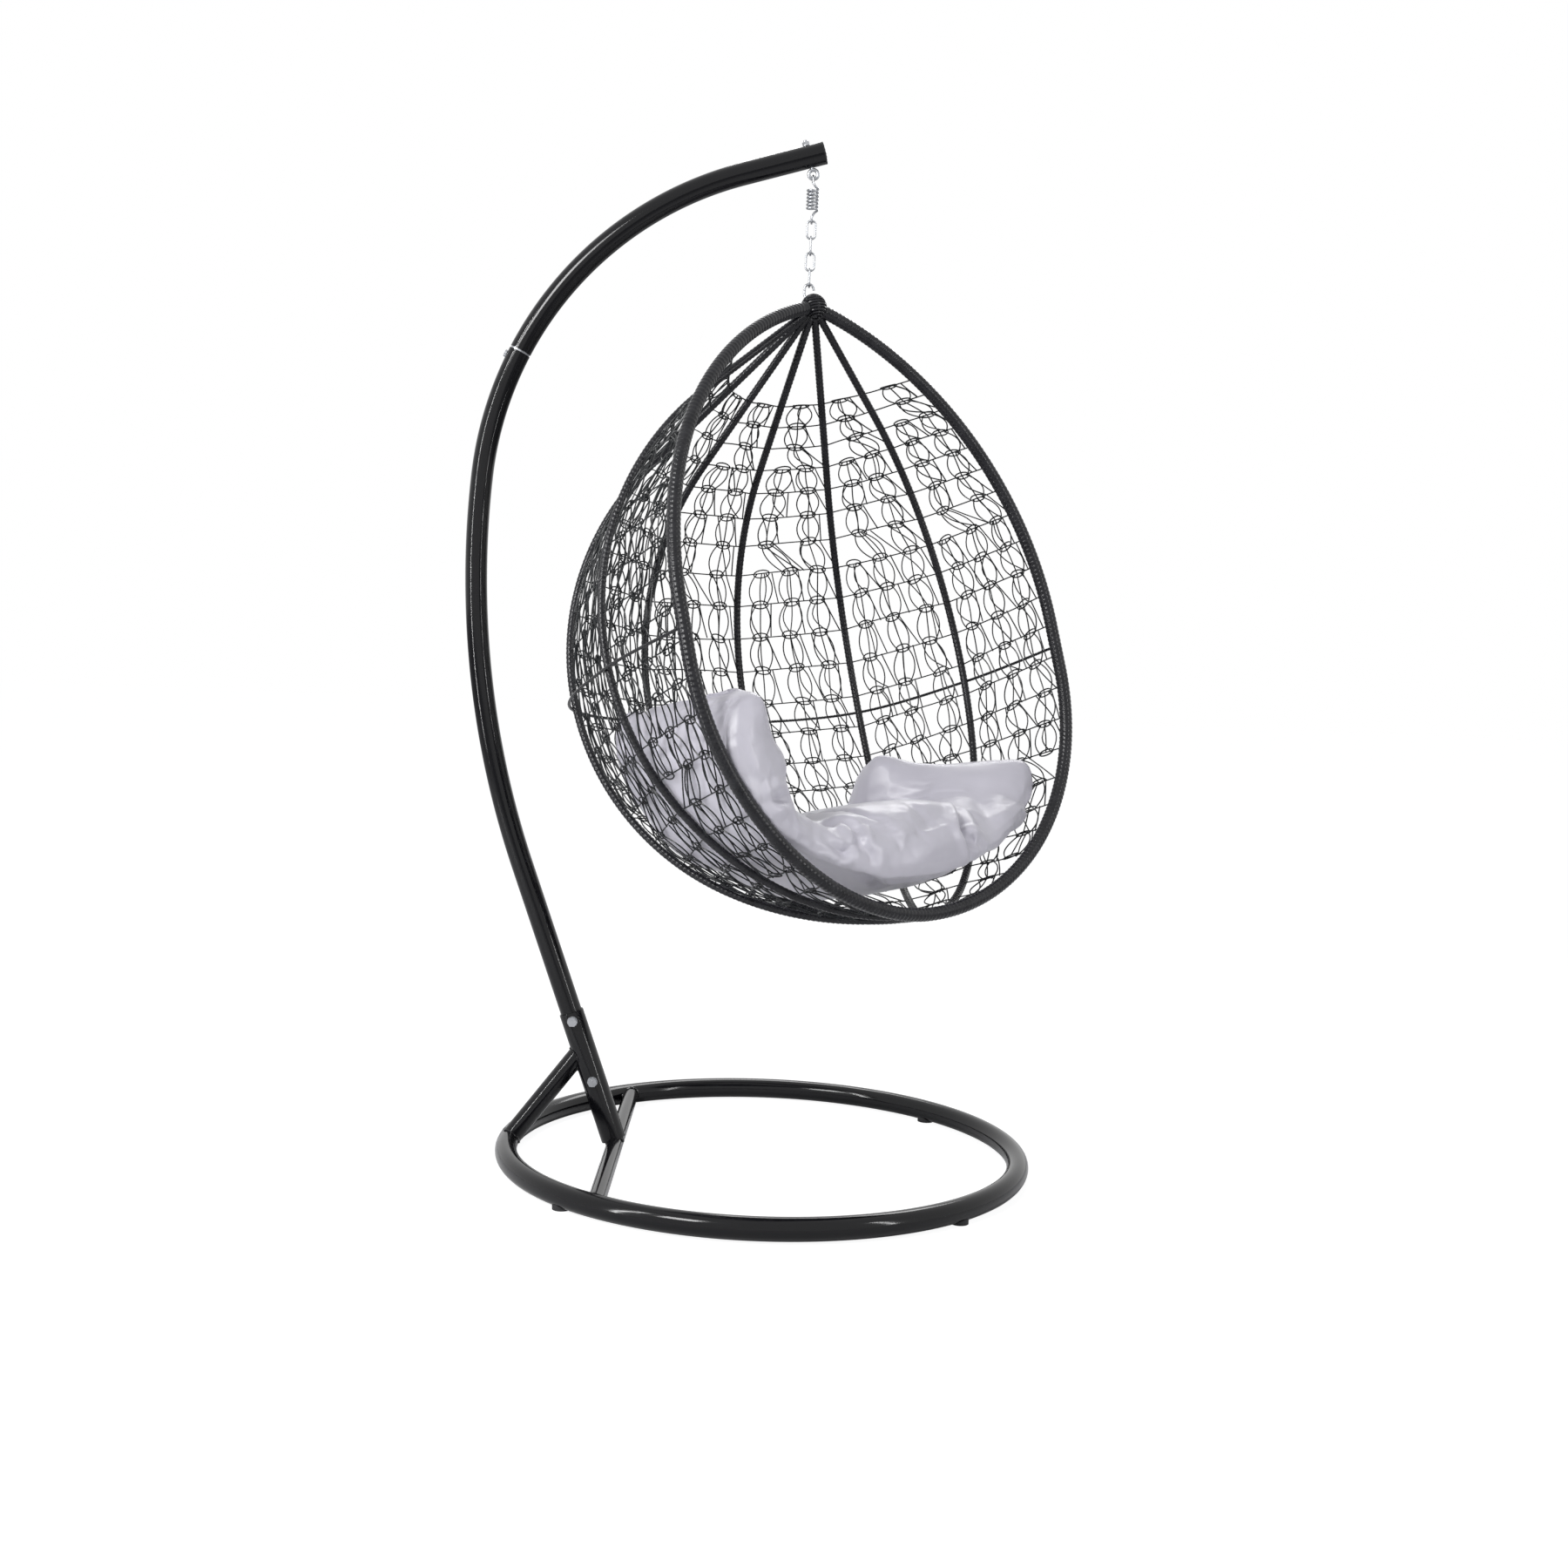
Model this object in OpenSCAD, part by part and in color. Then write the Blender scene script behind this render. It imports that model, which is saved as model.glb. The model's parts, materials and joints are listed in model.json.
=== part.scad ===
// Hanging egg chair: an open basket on a spring and chain, under a bowed pole on a ground ring.
// Origin: centre of the ground ring on the floor. +X: the way the pole bows over, +Z: up.

/* [Ground ring] */
// Diameter of the ring, at the centre of its tube
ring_d = 1000; // [940:10:1060]
// Outer diameter of the ring tube and of the pole
tube_d = 42; // [40:0.5:44]
// Wall of the ring tube and of the pole
tube_wall = 1.5; // [1.25:0.25:2]
// Distance from the ring's centre back to the crossbar
crossbar_back = 290; // [280:5:300]
// Diameter of the crossbar
crossbar_d = 32; // [28:1:34]
// Wall of the crossbar and of the brace
bar_wall = 1.5; // [1.25:0.25:2]
// Height that the foot pads lift the ring
pad_lift = 3; // [2:0.5:6]
// Diameter of a foot pad
pad_d = 34; // [28:1:38]
// Number of foot pads
pad_count = 4; // [3:1:8]

/* [Pole socket] */
// Lean of the socket back from upright, in degrees
socket_lean = 20; // [18:0.5:22]
// Length of the socket, from the crossbar's axis to its mouth
socket_len = 276; // [260:2:290]
// Wall of the socket
socket_wall = 2.5; // [2:0.25:3]
// Room around the pole inside the socket
socket_gap = 0.5; // [0.3:0.1:0.7]
// Distance from the socket's mouth to the upper bolt
bolt_drop = 16; // [14:1:30]
// Distance between the two bolts
bolt_spacing = 125; // [100:5:140]
// Thread diameter of the socket bolts
bolt_d = 10; // [8:1:10]
// Diameter of the brace
brace_d = 38; // [34:1:40]
// Distance from the socket's mouth down to the brace
brace_drop = 76; // [70:2:100]

/* [Pole] */
// Length of pole inside the socket
pole_insert = 200; // [180:5:210]
// Straight length of pole above the socket
pole_straight = 305; // [280:5:330]
// Radius of the long lower bow
low_bow_r = 1740; // [1650:10:1850]
// Lean at which the lower bow ends, in degrees
bow_change = 5; // [3:1:8]
// Radius of the tight upper bow
top_bow_r = 673; // [640:1:700]
// Lean at which the upper bow ends, in degrees
bow_end = 73.5; // [70:0.5:77]
// Straight length at the tip
tip_len = 158; // [140:2:180]
// Lean at which the two pole halves meet, in degrees
split_lean = 26; // [20:1:32]
// Width of the seam between the pole halves
seam = 1.5; // [1:0.5:3]
// Length of the spigot in each half
spigot_len = 60; // [50:5:80]
// Thread diameter of the screw that locks the halves
screw_d = 8; // [6:1:8]

/* [Suspension] */
// Distance from the pole's tip back to the eye bolt
eye_back = 28.5; // [26:0.5:36]
// Diameter of the eye bolt's wire
eye_wire = 7; // [6:0.5:8]
// Outer diameter of the eye
eye_d = 24; // [23:0.5:28]
// Wire of the spring
spring_wire = 4.5; // [4:0.25:5]
// Outer diameter of the spring
spring_d = 24; // [22:1:28]
// Length of the wound part of the spring
spring_body = 45; // [45:1:60]
// Whole turns in the spring
spring_turns = 6; // [4:1:6]
// Inner radius of the spring's end hooks
hook_inner = 5.75; // [5.5:0.25:7]
// Drop from each hook's centre to the wound part
spring_neck = 16; // [15:1:24]
// Wire of the chain
chain_wire = 4; // [3.5:0.25:4.5]
// Outer width of a chain link
link_w = 20; // [19:0.5:24]
// Outer length of a chain link
link_len = 38.2; // [36:0.2:44]
// Rod of the basket's hook
hook_rod = 5; // [4.5:0.25:5.5]
// Inner radius of the basket's hook
hook_bend = 6; // [6:0.5:8]

/* [Basket frame] */
// Turn of the basket's mouth from the pole's forward line, in degrees
basket_turn = -50; // [-55:1:-45]
// Lean of the basket's long axis, in degrees
basket_lean = 18.5; // [17.5:0.5:19.5]
// Distance of the basket's peak in front of the hanging line
peak_forward = 16.5; // [15:0.5:18]
// Length of the basket along its axis
basket_len = 1176; // [1160:2:1190]
// Half width of the mouth
mouth_half_w = 465; // [455:1:475]
// Depth from the peak to the mouth's widest place
mouth_depth = 622; // [610:1:635]
// Swing of each half of the mouth forward of the side plane, in degrees
mouth_forward = 3.6; // [2:0.2:5]
// Outer diameter of the mouth's tube
mouth_tube = 18; // [17:0.5:18.5]
// Reach of the outer ribs from the axis
rib_reach_side = 501; // [495:1:507]
// Reach of the middle ribs from the axis
rib_reach_mid = 585; // [578:1:590]
// Reach of the two back ribs from the axis
rib_reach_back = 560; // [552:1:566]
// Depth from the peak to the ribs' widest place
rib_depth = 632; // [624:1:640]
// Angle at which the ribs leave the peak, from the axis, in degrees
rib_spread = 57.5; // [56:0.5:59]
// Angle through which the ribs turn under before they tighten, in degrees
rib_under = 54.5; // [52:0.5:57]
// Diameter of a rib's rod
rib_rod = 8; // [7:0.5:8.5]
// Thickness of the wrapped strip
wrap = 3.75; // [3:0.25:4]
// Diameter of the waist hoop's rod
hoop_rod = 6; // [5:0.5:7]
// Depth from the peak to the waist hoop
hoop_depth = 666; // [655:1:680]
// Diameter of the wrapped hub at the peak
hub_d = 50; // [49:0.5:54]
// Thickness of the woven cord panels
weave = 3; // [2.5:0.25:3.5]
// Depth from the peak to the first woven row
weave_top = 120; // [105:5:140]

/* [Cushion] */
// Thickness of the cushion's seat
seat_thick = 150; // [130:5:160]
// Thickness of the cushion's side pillows
pillow_thick = 120; // [100:5:130]

/* [Hidden] */
$fn = 64;

// Clearances shared by all the pieces
seat_gap = 0.3;
slip = 0.2;
hoop_over_weave = 0.6;
hole_gap = 0.25;

// Fastener sizes, in shares of the thread's diameter
hex_across = 1.7;
head_high = 0.64;
nut_high = 0.8;
washer_across = 2;
washer_thick = 2;
thread_end = 3;
thread_fit = 0.05;
screw_head = 1.75;
screw_head_high = 0.5;

// ---- Geometry of the stand: points are [x, z] in the stand's plane, leans are from upright ----
function along(p, lean, s) = p + s * [sin(lean), cos(lean)];
function bow_centre(p, lean, r) = p + r * [cos(lean), -sin(lean)];
function on_bow(c, r, lean) = c + r * [-cos(lean), sin(lean)];
function sweep_angle(length, r) = length * 180 / (PI * r);

bar_z = pad_lift + tube_d / 2;
socket_d = tube_d + 2 * (socket_gap + socket_wall);
socket_foot = [-crossbar_back, bar_z];
pole_foot = along(socket_foot, -socket_lean, socket_len - pole_insert);
low_bow_start = along(socket_foot, -socket_lean, socket_len + pole_straight);
low_bow_c = bow_centre(low_bow_start, -socket_lean, low_bow_r);
top_bow_c = bow_centre(on_bow(low_bow_c, low_bow_r, bow_change), bow_change, top_bow_r);
tip_start = on_bow(top_bow_c, top_bow_r, bow_end);
tip = along(tip_start, bow_end, tip_len);
// Leans at the stations of a bow, and the stations as [point, lean]
function leans(from, to) = let (n = ceil((to - from) / 5)) [for (k = [0:n]) from + (to - from) * k / n];
function bow_stations(c, r, leans) = [for (lean = leans) [on_bow(c, r, lean), lean]];
function broken_at(list, v) = concat([for (w = list) if (w < v) w], [v], [for (w = list) if (w > v) w]);
function stand_frames(list) = [for (q = list) frame_of([q[0].x, 0, q[0].y], [sin(q[1]), 0, cos(q[1])],
    [-cos(q[1]), 0, sin(q[1])])];
pole_sides = 16;
pole_flat = cos(180 / pole_sides);
upper_start = split_lean + sweep_angle(seam, top_bow_r);
spigot_half = sweep_angle(spigot_len, top_bow_r);
lower_leans = broken_at(leans(bow_change, split_lean), split_lean - spigot_half);
upper_leans = broken_at(leans(upper_start, bow_end), split_lean + spigot_half);
bolt_points = [for (drop = [bolt_drop, bolt_drop + bolt_spacing])
    along(socket_foot, -socket_lean, socket_len - drop)];
brace_foot = [-ring_d / 2, bar_z];
brace_top = along(socket_foot, -socket_lean, socket_len - brace_drop);
brace_run = brace_top - brace_foot;
brace_lean = atan2(brace_run.x, brace_run.y);
pad_high = pad_lift + 8;
vent_d = 8;
spigot_d = tube_d - 2 * tube_wall - 2 * slip;
spigot_wall = 2;
screw_drop = 14;
screw_lean = split_lean - sweep_angle(screw_drop, top_bow_r);
joint_nut_top = sqrt(pow((spigot_d / 2 - spigot_wall) * pole_flat, 2)
    - pow(hex_across * screw_d / 2 / cos(30), 2)) - slip;
plug_len = 15;
cap_edge = 2.5;
cap_rise = 3;

// ---- Geometry of the suspension, from the pole down ----
eye_r = (eye_d - eye_wire) / 2;
eye_drop = tube_d / 2 + 0.5 + eye_d / 2;
eye_point = along(tip, bow_end, -eye_back);
eye_centre = along(eye_point, bow_end + 90, eye_drop);
hang_x = eye_centre.x;
hook_r = hook_inner + spring_wire / 2;
coil_r = (spring_d - spring_wire) / 2;
coil_high = spring_body - spring_wire;
top_hook_z = eye_centre.y - eye_r + (eye_wire + spring_wire) / 2 + seat_gap - hook_r;
spring_mid = top_hook_z - spring_neck - coil_high / 2;
low_hook_z = spring_mid - coil_high / 2 - spring_neck - hook_r;
link_r = (link_w - chain_wire) / 2;
link_high = link_len - chain_wire;
link_step = link_high - chain_wire - seat_gap;
link_top = low_hook_z + (spring_wire + chain_wire) / 2 + seat_gap;
links = 4;
chain_end = link_top - (links - 1) * link_step - link_high;
bend_r = hook_bend + hook_rod / 2;
bend_z = chain_end + (chain_wire + hook_rod) / 2 + seat_gap - bend_r;
bend_open = 15;
stem_len = 12;
peak_drop = 36;

// ---- Geometry of the basket: its own axes have +X out of the mouth and +Z up its long axis ----
peak = [hang_x + peak_forward * cos(basket_turn), peak_forward * sin(basket_turn), bend_z - peak_drop];

// A bent rod is a list of [point, heading, length, turn]
// Its points are [reach, height] and its headings are from straight down
function heading(h) = [sin(h), -cos(h)];
function bend_radius(g) = g[2] * 180 / (PI * g[3]);
function bend_centre(g) = g[0] - bend_radius(g) * [cos(g[1]), sin(g[1])];
function heading_at(g, s) = g[1] - g[3] * s / g[2];
function point_at(g, s) = g[3] == 0 ? g[0] + s * heading(g[1])
    : bend_centre(g) + bend_radius(g) * [cos(heading_at(g, s)), sin(heading_at(g, s))];
function chain_of(runs, p, h, i = 0) = i == len(runs) ? []
    : let (g = [p, h, runs[i][0], runs[i][1]])
        concat([g], chain_of(runs, point_at(g, g[2]), h - g[3], i + 1));
function arc_run(r, turn) = [PI * r * turn / 180, turn];
function rod_length(rod, i = 0) = i == len(rod) ? 0 : rod[i][2] + rod_length(rod, i + 1);
function rod_point(rod, s, i = 0) = s <= rod[i][2] || i == len(rod) - 1 ? point_at(rod[i], s)
    : rod_point(rod, s - rod[i][2], i + 1);
function depth_run(rod, depth, lo, hi, tries = 24) = let (mid = (lo + hi) / 2)
    tries == 0 ? mid
    : -rod_point(rod, mid).y < depth ? depth_run(rod, depth, mid, hi, tries - 1)
    : depth_run(rod, depth, lo, mid, tries - 1);

// Stations along a rod: both ends of a straight run, and every few degrees of a bend
facet = 7.5;
function stations(rod, from, until, i = 0, s = 0) = i == len(rod) ? [min(s, until)]
    : let (g = rod[i], n = abs(g[3]) < 0.001 ? 1 : ceil(g[3] / facet))
        concat([for (k = [0:n - 1]) let (here = s + g[2] * k / n, next = s + g[2] * (k + 1) / n)
            if (next > from + 1 && here < until - 1) max(here, from)],
            stations(rod, from, until, i + 1, s + g[2]));
function rod_heading(rod, s, i = 0) = s <= rod[i][2] || i == len(rod) - 1 ? heading_at(rod[i], s)
    : rod_heading(rod, s - rod[i][2], i + 1);
// Frames along a rod; the breaks are places where a wrap on it starts or ends or a hoop crosses it
function between(list, from, until) = [for (s = list) if (s > from + 1 && s < until - 1) s];
function all_broken(list, breaks, i = 0) = i == len(breaks) ? list
    : all_broken(broken_at(list, breaks[i]), breaks, i + 1);
function rod_frames(turn, rod, from, until, breaks) =
    [for (s = all_broken(stations(rod, from, until), between(breaks, from, until)))
        let (h = rod_heading(rod, s)) frame_of(in_space(turn, rod_point(rod, s)),
            in_space(turn, heading(h)), in_space(turn, [cos(h), sin(h)]))];

// The mouth: one long bend to its widest place, a straight stretch and a quarter bend
mouth_r = (pow(mouth_depth, 2) + pow(mouth_half_w, 2)) / (2 * mouth_half_w);
mouth_spread = asin(mouth_depth / mouth_r);
mouth_rod = chain_of([arc_run(mouth_r, mouth_spread), [basket_len - mouth_depth - mouth_half_w, 0],
    arc_run(mouth_half_w, 90)], [0, 0], mouth_spread);

// A rib: straight from the peak, a bend to its widest place, and two bends under the seat
function upper_bend(reach) = (rib_depth * sin(rib_spread) - reach * cos(rib_spread)) / (1 - cos(rib_spread));
function upper_straight(reach) = (rib_depth - upper_bend(reach) * sin(rib_spread)) / cos(rib_spread);
function under_bend(reach) = ((basket_len - rib_depth) * cos(rib_under) - (1 - sin(rib_under)) * reach)
    / (sin(rib_under) + cos(rib_under) - 1);
function tight_bend(reach) = (reach - under_bend(reach) * (1 - cos(rib_under))) / cos(rib_under);
function rib_rod_for(reach) = chain_of([[upper_straight(reach), 0], arc_run(upper_bend(reach), rib_spread),
    arc_run(under_bend(reach), rib_under), arc_run(tight_bend(reach), 90 - rib_under)], [0, 0], rib_spread);

ribs = 6;
rib_step = 180 / (ribs + 1);
rib_reaches = [rib_reach_side, rib_reach_mid, rib_reach_back, rib_reach_back, rib_reach_mid, rib_reach_side];
// Every upright of the basket from one side of the mouth to the other, as [turn from the back, rod]
mouth_turn = 90 + mouth_forward;
uprights = concat([[-mouth_turn, mouth_rod]],
    [for (i = [1:ribs]) [-90 + i * rib_step, rib_rod_for(rib_reaches[i - 1])]],
    [[mouth_turn, mouth_rod]]);
mouth_wrap_r = mouth_tube / 2 + wrap;
rib_wrap_r = rib_rod / 2 + wrap;
function wrap_radius(i) = i == 0 || i == ribs + 1 ? mouth_wrap_r : rib_wrap_r;
mouth_wall = 1.5;
wrap_from = 46;
wrap_until = 48;
gusset_r = 26;

function in_space(turn, p) = [-p.x * cos(turn), p.x * sin(turn), p.y];
function upright_point(i, s) = in_space(uprights[i][0], rod_point(uprights[i][1], s));
function widest(i) = i == 0 || i == ribs + 1 ? mouth_depth : rib_depth;
function unit(v) = v / norm(v);

// ---- Swept solids: a frame is [point, outward, sideways], and all rings have as many points ----
function frame_of(p, along, out) = [p, out, cross(along, out)];
function ring(f, r, sides) = [for (k = [0:sides - 1])
    f[0] + r * (cos(360 * (k + 0.5) / sides) * f[1] + sin(360 * (k + 0.5) / sides) * f[2])];
function rings(frames, r, sides) = [for (f = frames, p = ring(f, r, sides)) p];
function backwards(list) = [for (i = [len(list) - 1:-1:0]) list[i]];
function tangents(path) = [for (i = [0:len(path) - 1])
    unit(path[min(i + 1, len(path) - 1)] - path[max(i - 1, 0)])];
function normals(ts, n, i = 0) = i == len(ts) ? []
    : let (m = unit(n - (n * ts[i]) * ts[i])) concat([m], normals(ts, m, i + 1));
function path_frames(path, out) = let (ts = tangents(path), ns = normals(ts, out))
    [for (i = [0:len(path) - 1]) frame_of(path[i], ts[i], ns[i])];
function band(a, b, sides) = [for (k = [0:sides - 1], half = [0, 1])
    let (next = (k + 1) % sides)
        half == 0 ? [a + k, a + next, b + next] : [a + k, b + next, b + k]];
function lid(first, sides, flip) = [for (k = [1:sides - 2])
    flip ? [first, first + k + 1, first + k] : [first, first + k, first + k + 1]];
module ring_solid(points, sides) {
    last = len(points) - sides;
    polyhedron(points, concat([for (a = [0:sides:last - sides], f = band(a, a + sides, sides)) f],
        lid(0, sides, true), lid(last, sides, false)), convexity = 10);
}

module rod_solid(frames, d, sides) {
    ring_solid(rings(frames, d / 2, sides), sides);
}

module tube_solid(frames, d, wall, sides) {
    points = concat(rings(frames, d / 2, sides), rings(backwards(frames), d / 2 - wall, sides));
    starts = [0:sides:len(points) - sides];
    polyhedron(points, [for (a = starts, f = band(a, (a + sides) % len(points), sides)) f], convexity = 10);
}

function spline(a, b, c, d, t) = 0.5 * ((2 * b) + (c - a) * t + (2 * a - 5 * b + 4 * c - d) * t * t
    + (3 * b - a - 3 * c + d) * t * t * t);
function smooth_path(pts, steps) = concat([for (i = [0:len(pts) - 2], k = [0:steps - 1])
    spline(pts[max(i - 1, 0)], pts[i], pts[i + 1], pts[min(i + 2, len(pts) - 1)], k / steps)],
    [pts[len(pts) - 1]]);
function bezier(a, b, c, d, t) = pow(1 - t, 3) * a + 3 * pow(1 - t, 2) * t * b + 3 * (1 - t) * t * t * c
    + pow(t, 3) * d;

// ---- Bent and straight tubes ----
module tube_profile(d, wall) {
    difference() {
        circle(d = d);
        if (wall > 0) circle(d = d - 2 * wall);
    }
}

module at_lean(p, lean) {
    translate([p.x, 0, p.y]) rotate([0, lean, 0]) children();
}

module straight_tube(p, lean, length, d, wall = 0) {
    at_lean(p, lean) linear_extrude(length) tube_profile(d, wall);
}

module arc_tube(c, r, from, sweep, d, wall = 0) {
    translate([c.x, 0, c.y]) rotate([90, 0, 0]) rotate([0, 0, from])
        rotate_extrude(angle = sweep) translate([r, 0]) tube_profile(d, wall);
}

module across(p) {
    translate([p.x, 0, p.y]) rotate([90, 0, 0]) children();
}

module hex(d, h) {
    cylinder(d = hex_across * d / cos(30), h = h, $fn = 6);
}

// ---- Ground ring ----
module ring_body() {
    translate([0, 0, bar_z]) rotate_extrude($fn = 96) translate([ring_d / 2, 0]) circle(d = tube_d);
}

module base_ring() {
    color("#1b1c1e") difference() {
        translate([0, 0, bar_z]) rotate_extrude($fn = 96) translate([ring_d / 2, 0])
            tube_profile(tube_d, tube_wall);
        straight_tube(brace_foot, brace_lean, tube_d, vent_d);
    }
}

module crossbar_body(wall = 0) {
    half = sqrt(pow(ring_d / 2, 2) - pow(crossbar_back, 2));
    translate([0, half, 0]) across(socket_foot) linear_extrude(2 * half) tube_profile(crossbar_d, wall);
}

module crossbar() {
    color("#1b1c1e") difference() {
        crossbar_body(bar_wall);
        ring_body();
    }
}

module pole_socket() {
    color("#1b1c1e") difference() {
        straight_tube(socket_foot, -socket_lean, socket_len, socket_d, socket_wall);
        crossbar_body();
        for (p = bolt_points) across(p) cylinder(d = bolt_d + 2 * hole_gap, h = 2 * socket_d, center = true);
    }
}

module rear_brace() {
    color("#1b1c1e") difference() {
        straight_tube(brace_foot, brace_lean, norm(brace_run), brace_d, bar_wall);
        ring_body();
        straight_tube(socket_foot, -socket_lean, socket_len, socket_d);
    }
}

module foot_pads() {
    color("#2b2b2b") difference() {
        for (i = [0:pad_count - 1]) rotate([0, 0, 45 + 360 * i / pad_count])
            translate([ring_d / 2, 0, 0]) cylinder(d = pad_d, h = pad_high);
        ring_body();
    }
}

module socket_bolts() {
    washer_face = socket_d / 2 + washer_thick;
    color("silver") for (p = bolt_points) across(p) {
        translate([0, 0, washer_face]) hex(bolt_d, head_high * bolt_d);
        translate([0, 0, -washer_face - nut_high * bolt_d - thread_end])
            cylinder(d = bolt_d, h = 2 * washer_face + nut_high * bolt_d + thread_end + 1);
    }
}

module socket_washers() {
    color("silver") for (p = bolt_points, side = [-1, 1]) across(p)
        translate([0, 0, side * (socket_d + washer_thick) / 2]) difference() {
            cylinder(d = washer_across * bolt_d, h = washer_thick, center = true);
            cylinder(d = bolt_d + 2 * hole_gap, h = 2 * washer_thick, center = true);
        }
}

module socket_nuts() {
    color("silver") for (p = bolt_points) across(p)
        translate([0, 0, -socket_d / 2 - washer_thick - nut_high * bolt_d]) difference() {
            hex(bolt_d, nut_high * bolt_d);
            translate([0, 0, -1]) cylinder(d = bolt_d + 2 * thread_fit, h = nut_high * bolt_d + 2);
        }
}

// ---- Pole ----
module at_screw() {
    at_lean(on_bow(top_bow_c, top_bow_r, screw_lean), screw_lean - 90) children();
}

module lower_pole() {
    low_bow = bow_stations(low_bow_c, low_bow_r, leans(-socket_lean, bow_change));
    top_bow = bow_stations(top_bow_c, top_bow_r, lower_leans);
    color("#1b1c1e") difference() {
        tube_solid(stand_frames(concat([[pole_foot, -socket_lean]], low_bow, [for (k = [1:len(top_bow) - 1])
            top_bow[k]])), tube_d, tube_wall, pole_sides);
        for (p = bolt_points) across(p) cylinder(d = bolt_d + 2 * hole_gap, h = 2 * tube_d, center = true);
        at_screw() cylinder(d = screw_d + 2 * hole_gap, h = tube_d);
    }
}

module pole_spigot() {
    inside = concat([for (lean = lower_leans) if (lean >= split_lean - spigot_half) lean],
        [for (lean = upper_leans) if (lean <= split_lean + spigot_half) lean]);
    color("silver") difference() {
        tube_solid(stand_frames(bow_stations(top_bow_c, top_bow_r, inside)), spigot_d, spigot_wall,
            pole_sides);
        at_screw() cylinder(d = screw_d + 2 * hole_gap, h = tube_d);
    }
}

module upper_pole() {
    color("#1b1c1e") difference() {
        tube_solid(stand_frames(concat(bow_stations(top_bow_c, top_bow_r, upper_leans), [[tip, bow_end]])),
            tube_d, tube_wall, pole_sides);
        at_lean(eye_point, bow_end - 90)
            cylinder(d = eye_wire + 2 * hole_gap, h = 2 * tube_d, center = true);
    }
}

module pole_joint_screw() {
    pole_face = tube_d / 2 * pole_flat;
    shank_from = joint_nut_top - nut_high * screw_d - thread_end;
    color("silver") at_screw() {
        translate([0, 0, pole_face]) cylinder(d = screw_head * screw_d, h = screw_head_high * screw_d);
        translate([0, 0, shank_from]) cylinder(d = screw_d, h = pole_face + 1 - shank_from);
    }
}

module pole_joint_nut() {
    color("silver") at_screw() translate([0, 0, joint_nut_top - nut_high * screw_d]) difference() {
        hex(screw_d, nut_high * screw_d);
        translate([0, 0, -1]) cylinder(d = screw_d + 2 * thread_fit, h = nut_high * screw_d + 2);
    }
}

module pole_end_cap() {
    dome_r = (pow(tube_d / 2, 2) + pow(cap_rise, 2)) / (2 * cap_rise);
    color("#151515") at_lean(tip, bow_end) {
        translate([0, 0, -plug_len])
            cylinder(d = (tube_d - 2 * tube_wall) * pole_flat - 2 * slip, h = plug_len);
        intersection() {
            cylinder(d = tube_d, h = cap_edge + 2 * cap_rise);
            translate([0, 0, cap_edge + cap_rise - dome_r]) sphere(r = dome_r, $fn = 128);
        }
    }
}

// ---- Suspension ----
module eye_bolt() {
    stud = tube_d / 2 + washer_thick + nut_high * eye_wire + thread_end;
    color("silver") at_lean(eye_point, bow_end - 90) {
        translate([0, 0, -eye_drop]) rotate([90, 0, 0]) rotate_extrude()
            translate([eye_r, 0]) circle(d = eye_wire);
        translate([0, 0, eye_r - eye_drop]) cylinder(d = eye_wire, h = eye_drop - eye_r + stud);
    }
}

module eye_washer() {
    color("silver") at_lean(eye_point, bow_end - 90) translate([0, 0, tube_d / 2 * pole_flat]) difference() {
        cylinder(d = washer_across * eye_wire, h = washer_thick);
        translate([0, 0, -1]) cylinder(d = eye_wire + 2 * hole_gap, h = washer_thick + 2);
    }
}

module eye_nut() {
    color("silver") at_lean(eye_point, bow_end - 90) translate([0, 0, tube_d / 2 * pole_flat + washer_thick])
        difference() {
            hex(eye_wire, nut_high * eye_wire);
            translate([0, 0, -1]) cylinder(d = eye_wire + 2 * thread_fit, h = nut_high * eye_wire + 2);
        }
}

// The spring's wire, from the tip of the upper hook to its middle; the lower half is the same, turned over
lead = 60;
coil_turn = 360 * spring_turns + 180 - 2 * lead;
coil_rings = 8;
function coil_point(turn) = [coil_r * cos(turn - 90 + lead), coil_r * sin(turn - 90 + lead),
    coil_high * (0.5 - turn / coil_turn)];
upper_hook_path = let (centre = coil_high / 2 + spring_neck, start = coil_point(0),
        slope = unit(coil_point(1) - coil_point(0)), reach = 0.55 * spring_neck)
    concat([[0, hook_r, centre - spring_wire], [0, hook_r, centre - spring_wire / 2]],
        [for (k = [0:8]) [0, hook_r * cos(22.5 * k), centre + hook_r * sin(22.5 * k)]],
        [for (k = [1:6]) bezier([0, -hook_r, centre], [0, -hook_r, centre - reach],
            start - reach * slope, start, k / 7)]);
coil_steps = round(coil_turn * coil_rings / 360);
spring_path = concat(upper_hook_path, [for (k = [0:coil_steps]) coil_point(k * coil_turn / coil_steps)],
    [for (k = [len(upper_hook_path) - 1:-1:0]) let (p = upper_hook_path[k]) [p.x, -p.y, -p.z]]);
spring_gap = min([for (i = [0:len(spring_path) - 1], j = [i + 5:1:len(spring_path) - 1])
    norm(spring_path[i] - spring_path[j])]) - spring_wire;
echo(least_gap_in_spring = spring_gap);

module spring() {
    color("silver") translate([hang_x, 0, spring_mid])
        rod_solid(path_frames(spring_path, [1, 0, 0]), spring_wire, 6);
}

module chain_link(i) {
    half_straight = link_high / 2 - link_r;
    color("silver") translate([hang_x, 0, link_top - (i - 1) * link_step - link_high / 2])
        rotate([0, 0, i % 2 == 1 ? 0 : 90]) for (side = [0, 180]) rotate([0, side, 0]) {
            arc_tube([0, half_straight], link_r, 0, 180, chain_wire);
            straight_tube([link_r, -half_straight], 0, 2 * half_straight, chain_wire);
        }
}

module chain_link_1() {
    chain_link(1);
}

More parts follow.
